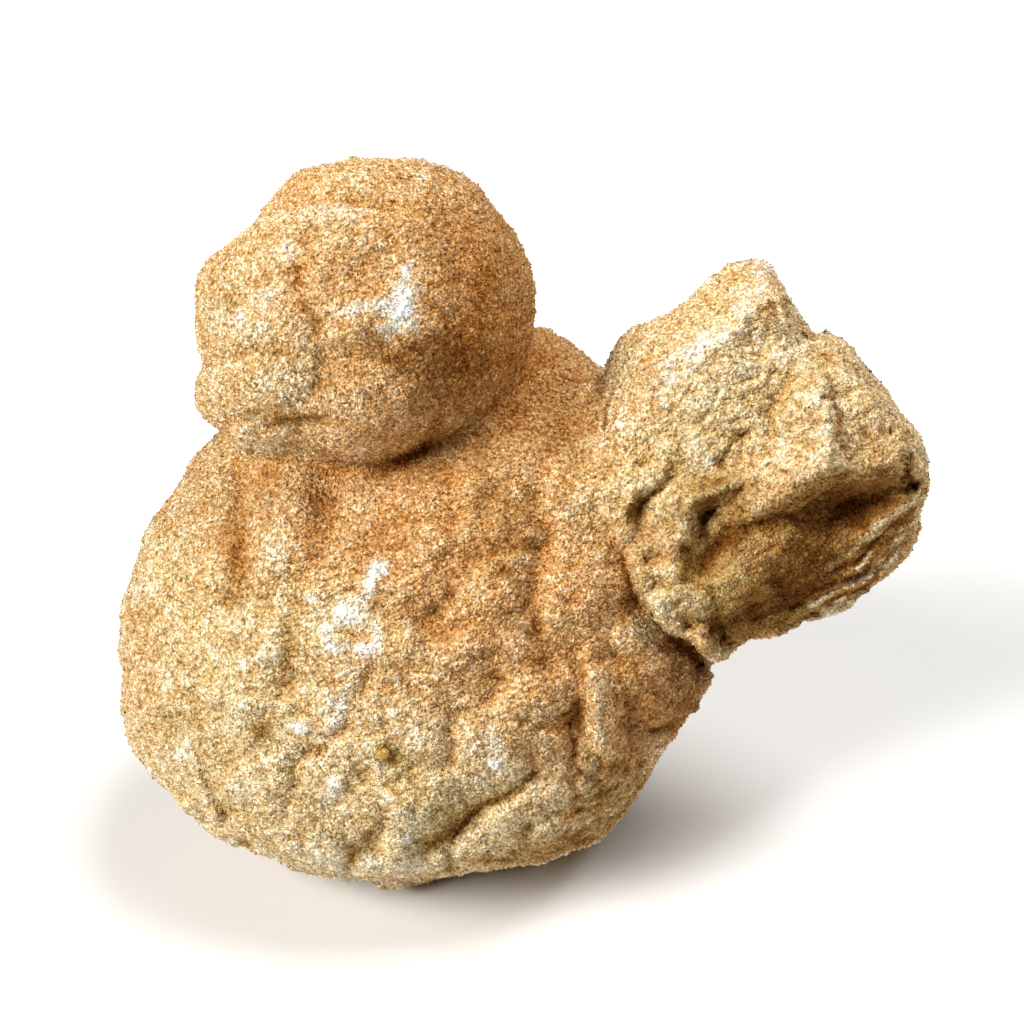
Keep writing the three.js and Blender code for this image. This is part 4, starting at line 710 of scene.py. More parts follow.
def blur(sheet, sigma):
    n = int(3 * sigma + 1)
    k = np.exp(-0.5 * (np.arange(-n, n + 1) / sigma) ** 2)
    k /= k.sum()
    for ax in (0, 1):
        pad = [(n, n) if a == ax else (0, 0) for a in (0, 1)]
        wide = np.pad(sheet, pad, mode='edge')
        sheet = sum(k[i] * np.take(wide, np.arange(i, i + sheet.shape[ax]), ax) for i in range(2 * n + 1))
    return sheet


def net_height(points):
    """The control net's height at every px of the view: flat triangles, edges softened."""
    pts = np.array(points, float)
    out = delaunay_2d_cdt([Vector(p[:2]) for p in pts], [], [], 0, 1e-5)
    at = np.array([tuple(v) for v in out[0]])
    high = np.array([pts[o[0], 2] for o in out[3]])
    sheet = np.full((1024, 1024), -70.0)
    for face in out[2]:
        a, b, c = (at[i] for i in face)
        lo = np.clip(np.floor(np.min([a, b, c], 0)), 0, 1023).astype(int)
        hi = np.clip(np.ceil(np.max([a, b, c], 0)), 0, 1023).astype(int)
        gx, gy = np.meshgrid(np.arange(lo[0], hi[0] + 1), np.arange(lo[1], hi[1] + 1))
        den = (b[1] - c[1]) * (a[0] - c[0]) + (c[0] - b[0]) * (a[1] - c[1])
        wa = ((b[1] - c[1]) * (gx - c[0]) + (c[0] - b[0]) * (gy - c[1])) / den
        wb = ((c[1] - a[1]) * (gx - c[0]) + (a[0] - c[0]) * (gy - c[1])) / den
        wc = 1 - wa - wb
        ins = (wa > -1e-6) & (wb > -1e-6) & (wc > -1e-6)
        z = wa * high[face[0]] + wb * high[face[1]] + wc * high[face[2]]
        sheet[gy[ins], gx[ins]] = z[ins]
    return blur(sheet, 1.6)


# ------------------------------------------------------------------ the lobes
def series_of(lobe):
    """The outline's radius against angle, as a Fourier series, so that its small waves
    die away round the sides of the lobe."""
    scale = (VIEW_PX - lobe['depth']) / VIEW_PX
    cx, cy = lobe['centre']
    pts = (np.array(lobe['outline'], float) - (cx, cy)) * lobe['fit'] * scale * (1, -1)
    x1, y1 = pts.T
    x2, y2 = np.roll(x1, -1), np.roll(y1, -1)
    turn = (np.arange(360) + 0.5) * 2 * np.pi / 360 - np.pi
    radius = np.zeros(360)
    for i, a in enumerate(turn):
        dx, dy = math.cos(a), math.sin(a)
        den = dx * (y2 - y1) - dy * (x2 - x1)
        den = np.where(np.abs(den) < 1e-12, 1e-12, den)
        along = (x1 * (y2 - y1) - y1 * (x2 - x1)) / den
        across = (x1 * dy - y1 * dx) / den
        radius[i] = along[(along > 0) & (across >= -1e-9) & (across <= 1 + 1e-9)].max()
    k = np.arange(lobe['waves'] + 1)
    taper = np.clip((lobe['waves'] + 1 - k) / (0.3 * lobe['waves']), 0, 1)
    both = np.where(k == 0, 1, 2) * taper
    lobe['cos'] = (radius * np.cos(k[:, None] * turn)).mean(1) * both
    lobe['sin'] = (radius * np.sin(k[:, None] * turn)).mean(1) * both
    lobe['at'] = np.array([(cx - 512) * scale, (512 - cy) * scale, lobe['depth']], float)


for _lobe in LOBES.values():
    series_of(_lobe)
SWELLS = {'head': 0.80, 'body': 0.70, 'shoulder': 1.0, 'rock': 0.0}    # share kept of the broad mounds
VALES = {'head': 0.30, 'body': 0.45, 'shoulder': 1.0, 'rock': 0.0}     # of the broad valleys
CLOSE = {'head': 0.60, 'body': 0.68, 'shoulder': 1.0, 'rock': 1.0}     # and of the finer relief
CRISP = ('ledge', 'ridge', 'cleft')
DRAWN = {name: SWELLS[name] * drawn_height([i for i in RELIEF if i[0] == 'knob'], name)
         + VALES[name] * drawn_height([i for i in RELIEF if i[0] != 'knob'], name) + CLOSE[name] * drawn_height([i for i in FINE if i[0] not in CRISP], name) for name in LOBES}
DRAWN = {name: blur(DRAWN[name], 3.2) + drawn_height([i for i in FINE if i[0] in CRISP], name) for name in LOBES}
KNOB_NET = net_height(NET)
KNOB_NET = KNOB_NET + 0.55 * (KNOB_NET - blur(KNOB_NET, 16)) * smooth(15, 45, KNOB_NET)
_gy, _gx = np.gradient(KNOB_NET)
KNOB_SLOPE = np.maximum(1 / np.sqrt(1 + blur(_gx ** 2 + _gy ** 2, 2.0)), 0.3)
KNOB_NET = KNOB_NET + drawn_height(FINE, 'rock')


def plain_radius(lobe, d):
    flat = np.hypot(d[:, 0], d[:, 1])
    e = np.where(flat > 1e-9, (d[:, 0] + 1j * d[:, 1]) / np.maximum(flat, 1e-9), 1)
    radius = np.full(len(d), lobe['cos'][0])
    w = e * flat
    for k in range(1, lobe['waves'] + 1):
        if k > 1:
            w = w * e * flat
        radius = radius + lobe['cos'][k] * w.real + lobe['sin'][k] * w.imag
    half = np.where(d[:, 2] > 0, lobe['front'], lobe['back'])
    p = lobe['full']
    return ((flat / np.maximum(radius, 1)) ** p + (np.abs(d[:, 2]) / half) ** p) ** (-1 / p)


KNOBS = {'body': (120, 47, 13, 1), 'head': (50, 36, 9, 2), 'rock': (36, 34, 8, 3), 'shoulder': (30, 40, 8, 4)}


def knobs_of(name):
    n, radius, height, seed = KNOBS[name]
    i = np.arange(n)
    chance = lambda k: (np.sin((i + 1) * 12.9898 * k + seed * 78.233) * 43758.5453) % 1.0
    turn = i * 2.399963 + (chance(1) - 0.5) * 0.9
    z = np.clip(1 - 2 * (i + 0.5) / n + (chance(2) - 0.5) / math.sqrt(n), -1, 1)
    r = np.sqrt(1 - z * z)
    return np.stack([r * np.cos(turn), r * np.sin(turn), z], 1), radius * (0.75 + 0.6 * chance(3)), height * (0.5 + 0.9 * chance(5))


def lobe_radius(name, d, points):
    lobe = LOBES[name]
    r = plain_radius(lobe, d)
    if name == 'rock':
        plain = r
        for normal, away in FACETS:
            c = d @ unit(np.array(normal, float))
            r = smin(r, np.where(c > 0.05, away / np.maximum(c, 0.05), 1e4), 12)
        r = plain + (r - plain) * smooth(0.03, 0.38, np.abs(d[:, 2]))
    if name == 'rock':
        drawn = np.zeros(len(d))
        height = 0
    else:
        drawn = smooth(-0.15, 0.2, d[:, 2])
        height = sample(DRAWN[name], to_view(points))
    at, kr, kh = knobs_of(name)
    knob = np.zeros(len(d))
    for q in range(len(at)):
        arc = np.arccos(np.clip(d @ at[q], -1, 1)) * lobe['cos'][0]
        knob = np.maximum(knob, kh[q] * np.exp(-(arc / kr[q]) ** 2))
    return r + height * drawn + (knob - kh.mean() * 0.45) * (1 - drawn)


def knob_front(points):
    """The front of the knob at the right: its outline carried forward, under its net."""
    lobe = LOBES['rock']
    xy = to_view(points)
    over = (points[:, 2] - lobe['depth'] - sample(KNOB_NET, xy)) * sample(KNOB_SLOPE, xy)
    scale = (VIEW_PX - lobe['depth']) / VIEW_PX
    q = np.stack([(xy[:, 0] - 512) * scale - lobe['at'][0], (512 - xy[:, 1]) * scale - lobe['at'][1]], 1)
    far = np.hypot(q[:, 0], q[:, 1])
    e = (q[:, 0] + 1j * q[:, 1]) / np.maximum(far, 1e-6)
    radius = np.full(len(q), lobe['cos'][0])
    w = e
    for k in range(1, lobe['waves'] + 1):
        if k > 1:
            w = w * e
        radius = radius + lobe['cos'][k] * w.real + lobe['sin'][k] * w.imag
    return -smin(-over, -(far - radius), 7)


UP = np.array([0, math.cos(LEAN), math.sin(LEAN)])
FORE = np.array([0, math.sin(LEAN), -math.cos(LEAN)])


def lobe_fields(points, fine=True):
    out = {}
    for name, lobe in LOBES.items():
        v = points - lobe['at']
        far = np.linalg.norm(v, axis=1)
        d = v / np.maximum(far, 1e-6)[:, None]
        r = plain_radius(lobe, d)
        near = np.abs(far - r) < 45
        if fine and near.any():
            r[near] = lobe_radius(name, d[near], points[near])
        out[name] = far - r
        if name == 'rock':
            fore = points[:, 2] > lobe['depth']
            if fore.any():
                out[name][fore] = knob_front(points[fore])
    scale = (VIEW_PX - FOOT['depth']) / VIEW_PX
    at = np.array([(FOOT['centre'][0] - 512) * scale, (512 - FOOT['centre'][1]) * scale, FOOT['depth']])
    radii = np.array(FOOT['radii'], float)
    v = points - at
    far = np.linalg.norm(v / radii, axis=1)
    out['foot'] = (far - 1) * far / np.maximum(np.linalg.norm(v / radii ** 2, axis=1), 1e-9)
    return out


def join(f, points):
    g = smin(f['body'], f['foot'], 60)
    g = smin(g, f['shoulder'], 50)
    g = smin(g, f['head'], 9 + 40 * smooth(-85, -10, points[:, 0]) + 22 * smooth(-140, -200, points[:, 0]) * smooth(-300, -270, points[:, 0]))
    return smin(g, f['rock'], 7 + 19 * smooth(110, 50, points[:, 0]))


def skin_mesh(step):
    """Surface nets over the joined field, worked out finely only near the surface."""
    lo = np.array([-412.0, -404.0, -272.0])
    hi = np.array([442.0, 374.0, 302.0])
    coarse = step * 4
    n = np.ceil((hi - lo) / coarse).astype(int) + 1
    axes = [lo[i] + np.arange(n[i]) * coarse for i in range(3)]
    grid = np.stack(np.meshgrid(*axes, indexing='ij'), -1).reshape(-1, 3)
    rough = join(lobe_fields(grid), grid).reshape(n).astype(np.float32)
    m = (n - 1) * 4 + 1
    # the coarse field, straight between its points
    up = rough
    for ax in range(3):
        a = np.take(up, np.arange(n[ax] - 1), ax)
        b = np.take(up, np.arange(1, n[ax]), ax)
        parts = [a + (b - a) * (t / 4) for t in range(4)]
        shape = list(a.shape)
        shape[ax] *= 4
        merged = np.stack(parts, ax + 1).reshape(shape)
        up = np.concatenate([merged, np.take(rough if ax == 0 else up, [n[ax] - 1], ax)], ax)
    fine = up.astype(np.float32)
    near = np.argwhere(np.abs(fine) < 15)
    pts = lo + near * step
    values = np.empty(len(pts), np.float32)
    for i in range(0, len(pts), 200000):
        values[i:i + 200000] = join(lobe_fields(pts[i:i + 200000]), pts[i:i + 200000])
    fine[tuple(near.T)] = values
    say('field', fine.shape, len(pts), 'fine points')
    height = (lo[1] + np.arange(m[1]) * step)[None, :, None] * UP[1] + (lo[2] + np.arange(m[2]) * step)[None, None, :] * UP[2]
    fine = np.maximum(fine, (SEAT - height).astype(np.float32))
    inside = fine < 0
    count = np.zeros(m - 1, np.float32)
    total = np.zeros(tuple(m - 1) + (3,), np.float32)
    faces = []
    for ax in range(3):
        s0 = [slice(None)] * 3
        s1 = [slice(None)] * 3
        s0[ax], s1[ax] = slice(0, -1), slice(1, None)
        a, b = fine[tuple(s0)], fine[tuple(s1)]
        cross = inside[tuple(s0)] != inside[tuple(s1)]
        at = np.argwhere(cross)
        a, b = a[cross], b[cross]
        pos = at.astype(np.float32)
        pos[:, ax] += a / (a - b)
        o1, o2 = [i for i in range(3) if i != ax]
        ring = []
        for d1, d2 in ((-1, -1), (0, -1), (0, 0), (-1, 0)):
            cell = at.copy()
            cell[:, o1] += d1
            cell[:, o2] += d2
            cell = np.clip(cell, 0, m - 2)
            ring.append(cell)
            flat = np.ravel_multi_index(tuple(cell.T), tuple(m - 1))
            count += np.bincount(flat, minlength=count.size).reshape(count.shape).astype(np.float32)
            for j in range(3):
                total[..., j] += np.bincount(flat, pos[:, j], minlength=count.size).reshape(count.shape).astype(np.float32)
        first = inside[tuple(s0)][cross]
        faces.append((ring, first if ax != 1 else ~first))
    used = np.argwhere(count > 0)
    number = np.full(tuple(m - 1), -1, np.int64)
    number[tuple(used.T)] = np.arange(len(used))
    verts = lo + total[tuple(used.T)] / count[tuple(used.T)][:, None] * step
    quads = []
    for ring, keep in faces:
        q = np.stack([number[tuple(c.T)] for c in ring], 1)
        quads.append(np.where(keep[:, None], q, q[:, ::-1]))
    return verts.astype(float), np.concatenate(quads)


def quad_normals(verts, quads):
    last = quads[:, -1] if quads.shape[1] == 4 else quads[:, 2]
    if quads.shape[1] == 4:
        n = np.cross(verts[quads[:, 2]] - verts[quads[:, 0]], verts[last] - verts[quads[:, 1]])
    else:
        n = np.cross(verts[quads[:, 1]] - verts[quads[:, 0]], verts[last] - verts[quads[:, 0]])
    out = np.zeros_like(verts)
    for i in range(quads.shape[1]):
        for j in range(3):
            out[:, j] += np.bincount(quads[:, i], n[:, j], minlength=len(verts))
    return unit(out)


def spread(verts, quads, values, rounds):
    """Averages values over neighbouring points, rounds times."""
    a = quads.ravel()
    b = np.roll(quads, -1, 1).ravel()
    deg = np.bincount(a, minlength=len(verts)) + np.bincount(b, minlength=len(verts))
    v = values.astype(float)
    for _ in range(rounds):
        if v.ndim == 1:
            near = np.bincount(a, v[b], minlength=len(verts)) + np.bincount(b, v[a], minlength=len(verts))
            v = 0.5 * v + 0.5 * near / np.maximum(deg, 1)
        else:
            near = np.stack([np.bincount(a, v[b, j], minlength=len(verts)) + np.bincount(b, v[a, j], minlength=len(verts)) for j in range(v.shape[1])], 1)
            v = 0.5 * v + 0.5 * near / np.maximum(deg, 1)[:, None]
    return v


def shares(points):
    """How much each point belongs to each lobe, 0 to 1."""
    f = lobe_fields(points, False)
    f = {'body': np.minimum(np.minimum(f['body'], f['foot']), f['shoulder']), 'head': f['head'], 'rock': f['rock']}
    out = {}
    for name in f:
        rest = np.minimum.reduce([f[o] for o in f if o != name])
        out[name] = smooth(-9, 9, rest - f[name])
    return out


def marks(items, xy, power=1.0):
    out = np.zeros(len(xy))
    for middle, radii, turn, strength in items:
        q = spot(xy, middle, radii, turn)
        out += strength * np.exp(-q ** power)
    return out


say('start')
verts, quads = skin_mesh(STEP)
say('nets', len(verts), len(quads))
normals = quad_normals(verts, quads)
if ((verts - verts.mean(0)) * normals).sum(1).mean() < 0:
    quads = quads[:, ::-1]
    normals = -normals

# ------------------------------------------------------------------ finer relief
xy = to_view(verts)
eye = np.array([0, 0, VIEW_PX])
smooth_n = unit(spread(verts, quads, normals, 6))
facing = (unit(eye - verts) * smooth_n).sum(1)
share = shares(verts)
seat_near = smooth(14, 2, verts @ UP - SEAT)
height = np.zeros(len(verts))
# rounded nodules, the size of peas, strongest low on the dome and on the hidden side
f1, f2, _ = cells_near(verts + 6 * np.stack([noise(verts, 40, s) for s in (1, 2, 3)], 1), 38, 11)
g1, g2, _ = cells_near(verts + 3 * np.stack([noise(verts, 18, s) for s in (4, 5, 6)], 1), 17, 12)
low = smooth(-60, -200, verts[:, 1]) * share['body']
back = smooth(0.25, -0.1, facing)
amount = 1.0 + 2.8 * low + 4.0 * back
amount = amount * (1 - 0.7 * share['rock'] * (1 - back))
height += amount * (0.42 - np.minimum(f1, 1.0) ** 2) * 1.1
rough = 0.75 + 0.6 * low + 0.5 * back + 0.35 * smooth(0, 90, verts[:, 0]) * (1 - share['rock'])
height += rough * (0.4 - np.minimum(g1, 1.0) ** 2) * 1.5
# pits and wrinkles a few grains across
p1, p2, _ = cells_near(verts + 2 * np.stack([noise(verts, 9, s) for s in (7, 8, 9)], 1), 10, 13)
calm = np.clip(marks(CALM, xy) * smooth(0.0, 0.2, facing), 0, 1)
rough = rough * (1 - 0.6 * calm)
height += rough * (0.35 - np.minimum(p1, 1.0) ** 2) * 1.4
height += 0.9 * rough * noise(verts, 8, 21, 2)
height += 2.0 * noise(verts, 60, 22, 2) * (1 + back)
slant = np.stack([verts @ unit(np.array([0.80, 0.60, 0.0])) / 1.6, verts @ unit(np.array([-0.60, 0.80, 0.0])), verts[:, 2]], 1)
slant = slant + 3 * np.stack([noise(verts, 15, s) for s in (25, 26, 27)], 1)
folds = 0.55 - np.abs(noise(slant, 11, 23)) + 0.5 * (0.5 - np.abs(noise(slant, 6, 24)))
height += share['rock'] * (1 - 0.5 * back) * (1 - 0.75 * calm) * 2.3 * folds
height += share['body'] * low * 0.6 * folds
# creases winding over the sides that carry no drawn relief
wander = verts + 14 * np.stack([noise(verts, 50, s) for s in (71, 72, 73)], 1)
crease = smooth(0.16, 0.0, np.abs(noise(wander, 85, 74, 2))) + 0.6 * smooth(0.2, 0.0, np.abs(noise(wander, 48, 75, 2)))
height -= back * (1 - share['rock']) * 3.4 * crease
height += back * 1.3 * (1 - share['rock']) * folds
far = smooth(-0.02, -0.35, facing) * (1 - share['rock'])
height += far * (4.5 * (0.42 - np.minimum(f1, 1.0) ** 2) + 2.2 * (0.4 - np.minimum(g1, 1.0) ** 2) + 2.5 * noise(verts, 34, 35, 2) - 2.6 * crease)
# worn, layered beds round the hidden side of the knob at the right
bed = verts @ unit(np.array([0.32, 0.86, 0.40]))
height += 1.8 * np.sin((bed + 6 * noise(verts, 60, 31)) / 6.5) * smooth(0.0, -60.0, verts[:, 1]) * share['rock'] * back
# thin beds, parallel to the knob's broad face, stepping round its sides
layer = verts @ unit(np.array([0.16, 0.30, 0.94])) + 7 * noise(verts, 55, 32, 2)
side = smooth(0.06, -0.2, facing) * share['rock'] * np.clip(0.75 + 0.6 * noise(verts, 38, 33), 0, 1.3)
height += side * (5.5 * (0.5 - (layer / 13.0) % 1.0) + 8.5 * (0.5 - (layer / 37.0 + 0.37) % 1.0))
height += side * 3.0 * folds
height -= side * 4.0 * crease
flank = smooth(0.55, 0.28, facing) * share['rock'] * np.clip(0.75 + 1.1 * noise(verts, 45, 34), 0, 1)
flank *= smooth(-0.45, -0.12, smooth_n[:, 1])
for pitch, depth, shift in ((17.0, 4.6, 0.0), (29.0, 7.5, 0.6)):
    part = (layer / pitch + shift) % 1.0
    height -= flank * depth * smooth(0.26, 0.0, np.minimum(part, 1 - part))
height *= 1 - seat_near
verts = verts + normals * height[:, None]
floor_low = verts @ UP
verts += np.where(floor_low < SEAT, SEAT - floor_low, 0)[:, None] * UP
say('relief')

# ------------------------------------------------------------------ into Blender
def to_part(points):
    p = np.asarray(points, float) * PX
    return np.stack([p[:, 0] - SEAT_MIDDLE[0], p @ FORE - SEAT_MIDDLE[1], p @ UP - SEAT * PX], 1)


def turn_part(v):
    return np.stack([v[:, 0], v @ FORE, v @ UP], 1)


def from_part(points):
    x = points[:, 0] + SEAT_MIDDLE[0]
    f = points[:, 1] + SEAT_MIDDLE[1]
    u = points[:, 2] + SEAT * PX
    return (np.stack([x, np.zeros_like(x), np.zeros_like(x)], 1) + f[:, None] * FORE + u[:, None] * UP) / PX


def mesh_object(name, points, faces):
    me = bpy.data.meshes.new(name)
    faces = np.asarray(faces)
    me.vertices.add(len(points))
    me.vertices.foreach_set('co', np.asarray(points, np.float32).ravel())
    k = faces.shape[1]
    me.loops.add(faces.size)
    me.loops.foreach_set('vertex_index', faces.astype(np.int32).ravel())
    me.polygons.add(len(faces))
    me.polygons.foreach_set('loop_start', np.arange(0, faces.size, k, dtype=np.int32))
    me.polygons.foreach_set('loop_total', np.full(len(faces), k, np.int32))
    me.update(calc_edges=True)
    ob = bpy.data.objects.new(name, me)
    bpy.context.scene.collection.objects.link(ob)
    return ob


def set_attribute(ob, name, values):
    kind = 'FLOAT' if values.ndim == 1 else 'FLOAT_COLOR'
    at = ob.data.attributes.new(name, kind, 'POINT')
    if values.ndim == 1:
        at.data.foreach_set('value', values.astype(np.float32))
    else:
        full = np.ones((len(values), 4), np.float32)
        full[:, :3] = values
        at.data.foreach_set('color', full.ravel())


skin = mesh_object('stone_skin', to_part(verts), quads)
say('mesh')
tris_now = 2 * len(quads)
if tris_now > SKIN_TRIS:
    group = skin.vertex_groups.new(name='hidden')
    xyn = to_view(verts)
    weight = np.clip(smooth(0.12, -0.12, facing), 0.02, 1.0)
    for lo_w in range(20):
        idx = np.flatnonzero((weight >= lo_w / 20) & (weight < (lo_w + 1) / 20 + (1 if lo_w == 19 else 0)))
        if len(idx):
            group.add(idx.tolist(), (lo_w + 0.5) / 20, 'REPLACE')
    mod = skin.modifiers.new('thin', 'DECIMATE')
    mod.ratio = SKIN_TRIS / tris_now
    mod.vertex_group = 'hidden'
    mod.vertex_group_factor = 1.0
    bpy.context.view_layer.objects.active = skin
    deps = bpy.context.evaluated_depsgraph_get()
    done = bpy.data.meshes.new_from_object(skin.evaluated_get(deps), preserve_all_data_layers=False, depsgraph=deps)
    old = skin.data
    skin.modifiers.clear()
    skin.vertex_groups.clear()
    skin.data = done
    bpy.data.meshes.remove(old)
    done.name = 'stone_skin'
me = skin.data
me.calc_loop_triangles()
count = len(me.vertices)
co = np.empty(count * 3, np.float32)
me.vertices.foreach_get('co', co)
co = co.reshape(-1, 3).astype(float)
nt = len(me.loop_triangles)
tri = np.empty(nt * 3, np.int32)
me.loop_triangles.foreach_get('vertices', tri)
tri = tri.reshape(-1, 3)
say('thinned', count, nt)

P = from_part(co)
n0 = quad_normals(P, tri)
wide = P.copy()
# hollows: how far the surface lies below its smoothed self
flat4 = spread(P, tri, P, 8)
flat20 = spread(P, tri, flat4, 40)
dip_small = ((flat4 - P) * n0).sum(1)
dip_wide = ((flat20 - P) * n0).sum(1)
xy = to_view(P)
smooth_n = unit(spread(P, tri, n0, 10))
facing = (unit(eye - P) * smooth_n).sum(1)
share = shares(P)


def seams(xy):
    """The worn edges of the thin beds: pale lines (+), partly their own colour and partly painted light, and painted
    shade under them (-).
    """
    out = np.zeros(len(xy))
    for path, width, strength in SEAMS:
        out += strength * np.exp(-(path_distance(xy, path) / width) ** 2)
    return out


wob = 3 * np.stack([noise(P, 12, 41), noise(P, 12, 42)], 1)
front = smooth(0.0, 0.2, facing)
white = np.clip(marks(WHITE, xy + wob, 1.15) * (1 + 0.35 * noise(P, 9, 46, 2)), 0, 1) * front
other = noise(P, 70, 43, 2)
white = np.maximum(white, smooth(0.75, 1.1, noise(P, 34, 44, 2)) * (1 - front) * 0.8)
# cream and orange ground from the marks: partly the stone's own colour, partly painted light and shade
ground = marks(GROUND_LIGHT_AND_SHADE, xy) * front + (other * 0.35 + 0.15 * smooth(0, -200, P[:, 1])) * (1 - front) + 0.55 * share['rock'] * (1 - front)
cream = np.clip(0.42 + 0.62 * ground + 0.08 * noise(P, 26, 45, 2), 0, 1)
# painted shade: the material paints the surface darker and more orange by this in its hollows, and a little lighter on
# its bumps
hollow = np.clip(dip_small / 2.5, -1, 1) * 0.5 + np.clip(dip_wide / 6.0, -1, 1) * 0.5
# painted shade from the marks, made darker still along the dark lines of the beds below
dark = np.clip(marks(PAINTED_SHADE, xy + wob, 1.2) * front, 0, 1.7)
seam = seams(xy + 0.4 * wob) * front
# the beds' pale lines lighten the colour, partly own colour and partly painted light; their dark lines add painted
# shade
white = np.clip(white + 0.36 * np.maximum(seam, 0), 0, 1)
cream = np.clip(cream + 0.6 * np.maximum(seam, 0), 0, 1)
dark = np.clip(dark - 1.0 * seam, 0, 1.8)
rough = np.clip(0.75 + 0.35 * smooth(-60, -200, P[:, 1]) * share['body'] + 0.5 * share['rock'] - 0.6 * np.clip(marks(CALM, xy) * front, 0, 1), 0.3, 1.3)
set_attribute(skin, 'cream', cream)
set_attribute(skin, 'dark', dark)
set_attribute(skin, 'rough', rough)
set_attribute(skin, 'white', white)
set_attribute(skin, 'hollow', hollow)
say('attributes')

# The skin's own map: each lobe as a cube seen from its middle.
def atlas(P, tri):
    names = ('body', 'head', 'rock')
    best = np.argmax(np.stack([share[n] for n in names]), 0)
    which = np.zeros(len(tri), int)
    for k in range(3):
        which += (best[tri] == k).sum(1) > 1.5
        which = np.where((best[tri] == k).sum(1) >= 2, k, which)
    mid = P[tri].mean(1)
    uv = np.zeros((len(tri), 3, 2))
    for k, name in enumerate(names):
        sel = np.flatnonzero(which == k)
        if not len(sel):
            continue
        at = LOBES[name]['at']
        d = mid[sel] - at
        ax = np.abs(d).argmax(1)
        side = ax * 2 + (d[np.arange(len(sel)), ax] < 0)
        corner = P[tri[sel]] - at
        for s in range(6):
            on = np.flatnonzero(side == s)
            if not len(on):
                continue
            a = s // 2
            o1, o2 = [i for i in range(3) if i != a]
            c = corner[on]
            depth = np.maximum(np.abs(c[..., a]), 1e-3)
            g = np.stack([c[..., o1] / depth, c[..., o2] / depth], -1)
            g = np.arctan(g) / (math.pi / 4)          # evens out the texels
            g = np.clip(g * 0.455, -0.495, 0.495) + 0.5
            if name == 'body':
                cell, size = (s % 3, s // 3), 1 / 3
                base = np.array([cell[0] * size, cell[1] * size])
            else:
                size = 1 / 6
                base = np.array([s * size, 2 / 3 + (0 if name == 'head' else size)])
            uv[sel[on]] = base + g * size
    return uv


uvs = atlas(P, tri)
# the skin is all triangles here only if it was thinned; otherwise quads take their own corners
loops = np.empty(len(me.loops), np.int32)
me.loops.foreach_get('vertex_index', loops)
layer = me.uv_layers.new(name='OFBake')
flat_uv = np.zeros((len(me.loops), 2), np.float32)
lt = np.empty(nt * 3, np.int32)
me.loop_triangles.foreach_get('loops', lt)
flat_uv[lt] = uvs.reshape(-1, 2)
layer.data.foreach_set('uv', flat_uv.ravel())
me.polygons.foreach_set('use_smooth', np.ones(len(me.polygons), bool))
say('map')

# ------------------------------------------------------------------ sand grains
rng = np.random.default_rng(20)
A, B, C = P[tri[:, 0]], P[tri[:, 1]], P[tri[:, 2]]
area = np.linalg.norm(np.cross(B - A, C - A), axis=1) / 2
grain_n = GRAINS
SHAPE = np.array([(1, 0), (-0.5, 0.866), (-0.5, -0.866)], float)
coats = []
chance = area * (0.45 + 1.0 * smooth(-0.15, 0.1, facing)[tri].mean(1))
chance = chance / chance.sum()
for coat in range(4):
    pick = rng.choice(len(tri), grain_n, p=chance)
    r1, r2 = rng.random(grain_n), rng.random(grain_n)
    r1 = np.sqrt(r1)
    w = np.stack([1 - r1, r1 * (1 - r2), r1 * r2], 1)
    T = tri[pick]
    at = (P[T] * w[..., None]).sum(1)
    nn = unit((n0[T] * w[..., None]).sum(1))
    cr = (cream[T] * w).sum(1)
    wh = (white[T] * w).sum(1)
    ho = (hollow[T] * w).sum(1)
    # each grain takes the skin's painted shade
    da = (dark[T] * w).sum(1)
    ro = (rough[T] * w).sum(1)
    lift = at @ UP - SEAT
    size = np.clip(2.1 * np.exp(rng.normal(0, 0.30, grain_n)), 1.1, 4.6)
    tall = size * rng.uniform(0.50, 1.0, grain_n)
    # a frame on the surface, each grain turned and tipped its own way
    t = unit(np.cross(nn, unit(rng.normal(size=(grain_n, 3)))))
    b = np.cross(nn, t)
    tip = nn + 0.40 * (t * rng.normal(0, 1, (grain_n, 1)) + b * rng.normal(0, 1, (grain_n, 1)))
    tip = unit(tip)
    pts = np.zeros((grain_n, 4, 3))
    for i, (a1, a2) in enumerate(SHAPE):
        jit = rng.uniform(0.75, 1.25, (grain_n, 1))
        skew = rng.normal(0, 0.16, (grain_n, 2))
        pts[:, i] = at + (t * (a1 * jit + skew[:, :1]) + b * (a2 * jit + skew[:, 1:])) * size[:, None] - nn * 0.45
    pts[:, 3] = at + tip * tall[:, None]
    keep = lift > 6
    pts = pts[keep]
    n = len(pts)
    faces = np.array([(0, 1, 3), (1, 2, 3), (2, 0, 3)])
    F = (np.arange(n)[:, None, None] * 4 + faces[None]).reshape(-1, 3)
    ob = mesh_object('sand_coat_%d' % (coat + 1), to_part(pts.reshape(-1, 3)), F)
    tone = rng.normal(0, 1, n)
    set_attribute(ob, 'cream', np.repeat(cr[keep], 4))
    set_attribute(ob, 'white', np.repeat(wh[keep], 4))
    set_attribute(ob, 'hollow', np.repeat(ho[keep], 4))
    set_attribute(ob, 'dark', np.repeat(da[keep], 4))
    set_attribute(ob, 'rough', np.repeat(ro[keep], 4))
    set_attribute(ob, 'tone', np.repeat(tone, 4))
    # map: each grain has its own small square
    side = int(math.ceil(math.sqrt(n)))
    k = np.arange(n)
    base = np.stack([k % side, k // side], 1) / side
    tri_uv = np.array([[(0, 0), (1, 0), (.5, .5)], [(1, 0), (.5, 1), (.5, .5)], [(.5, 1), (0, 0), (.5, .5)]])
    uv = base[:, None, None] + (0.04 + 0.92 * tri_uv[None]) / side
    lay = ob.data.uv_layers.new(name='OFBake')
    lay.data.foreach_set('uv', uv.astype(np.float32).ravel())
    coats.append(ob)
say('grains', sum(len(o.data.polygons) for o in coats))

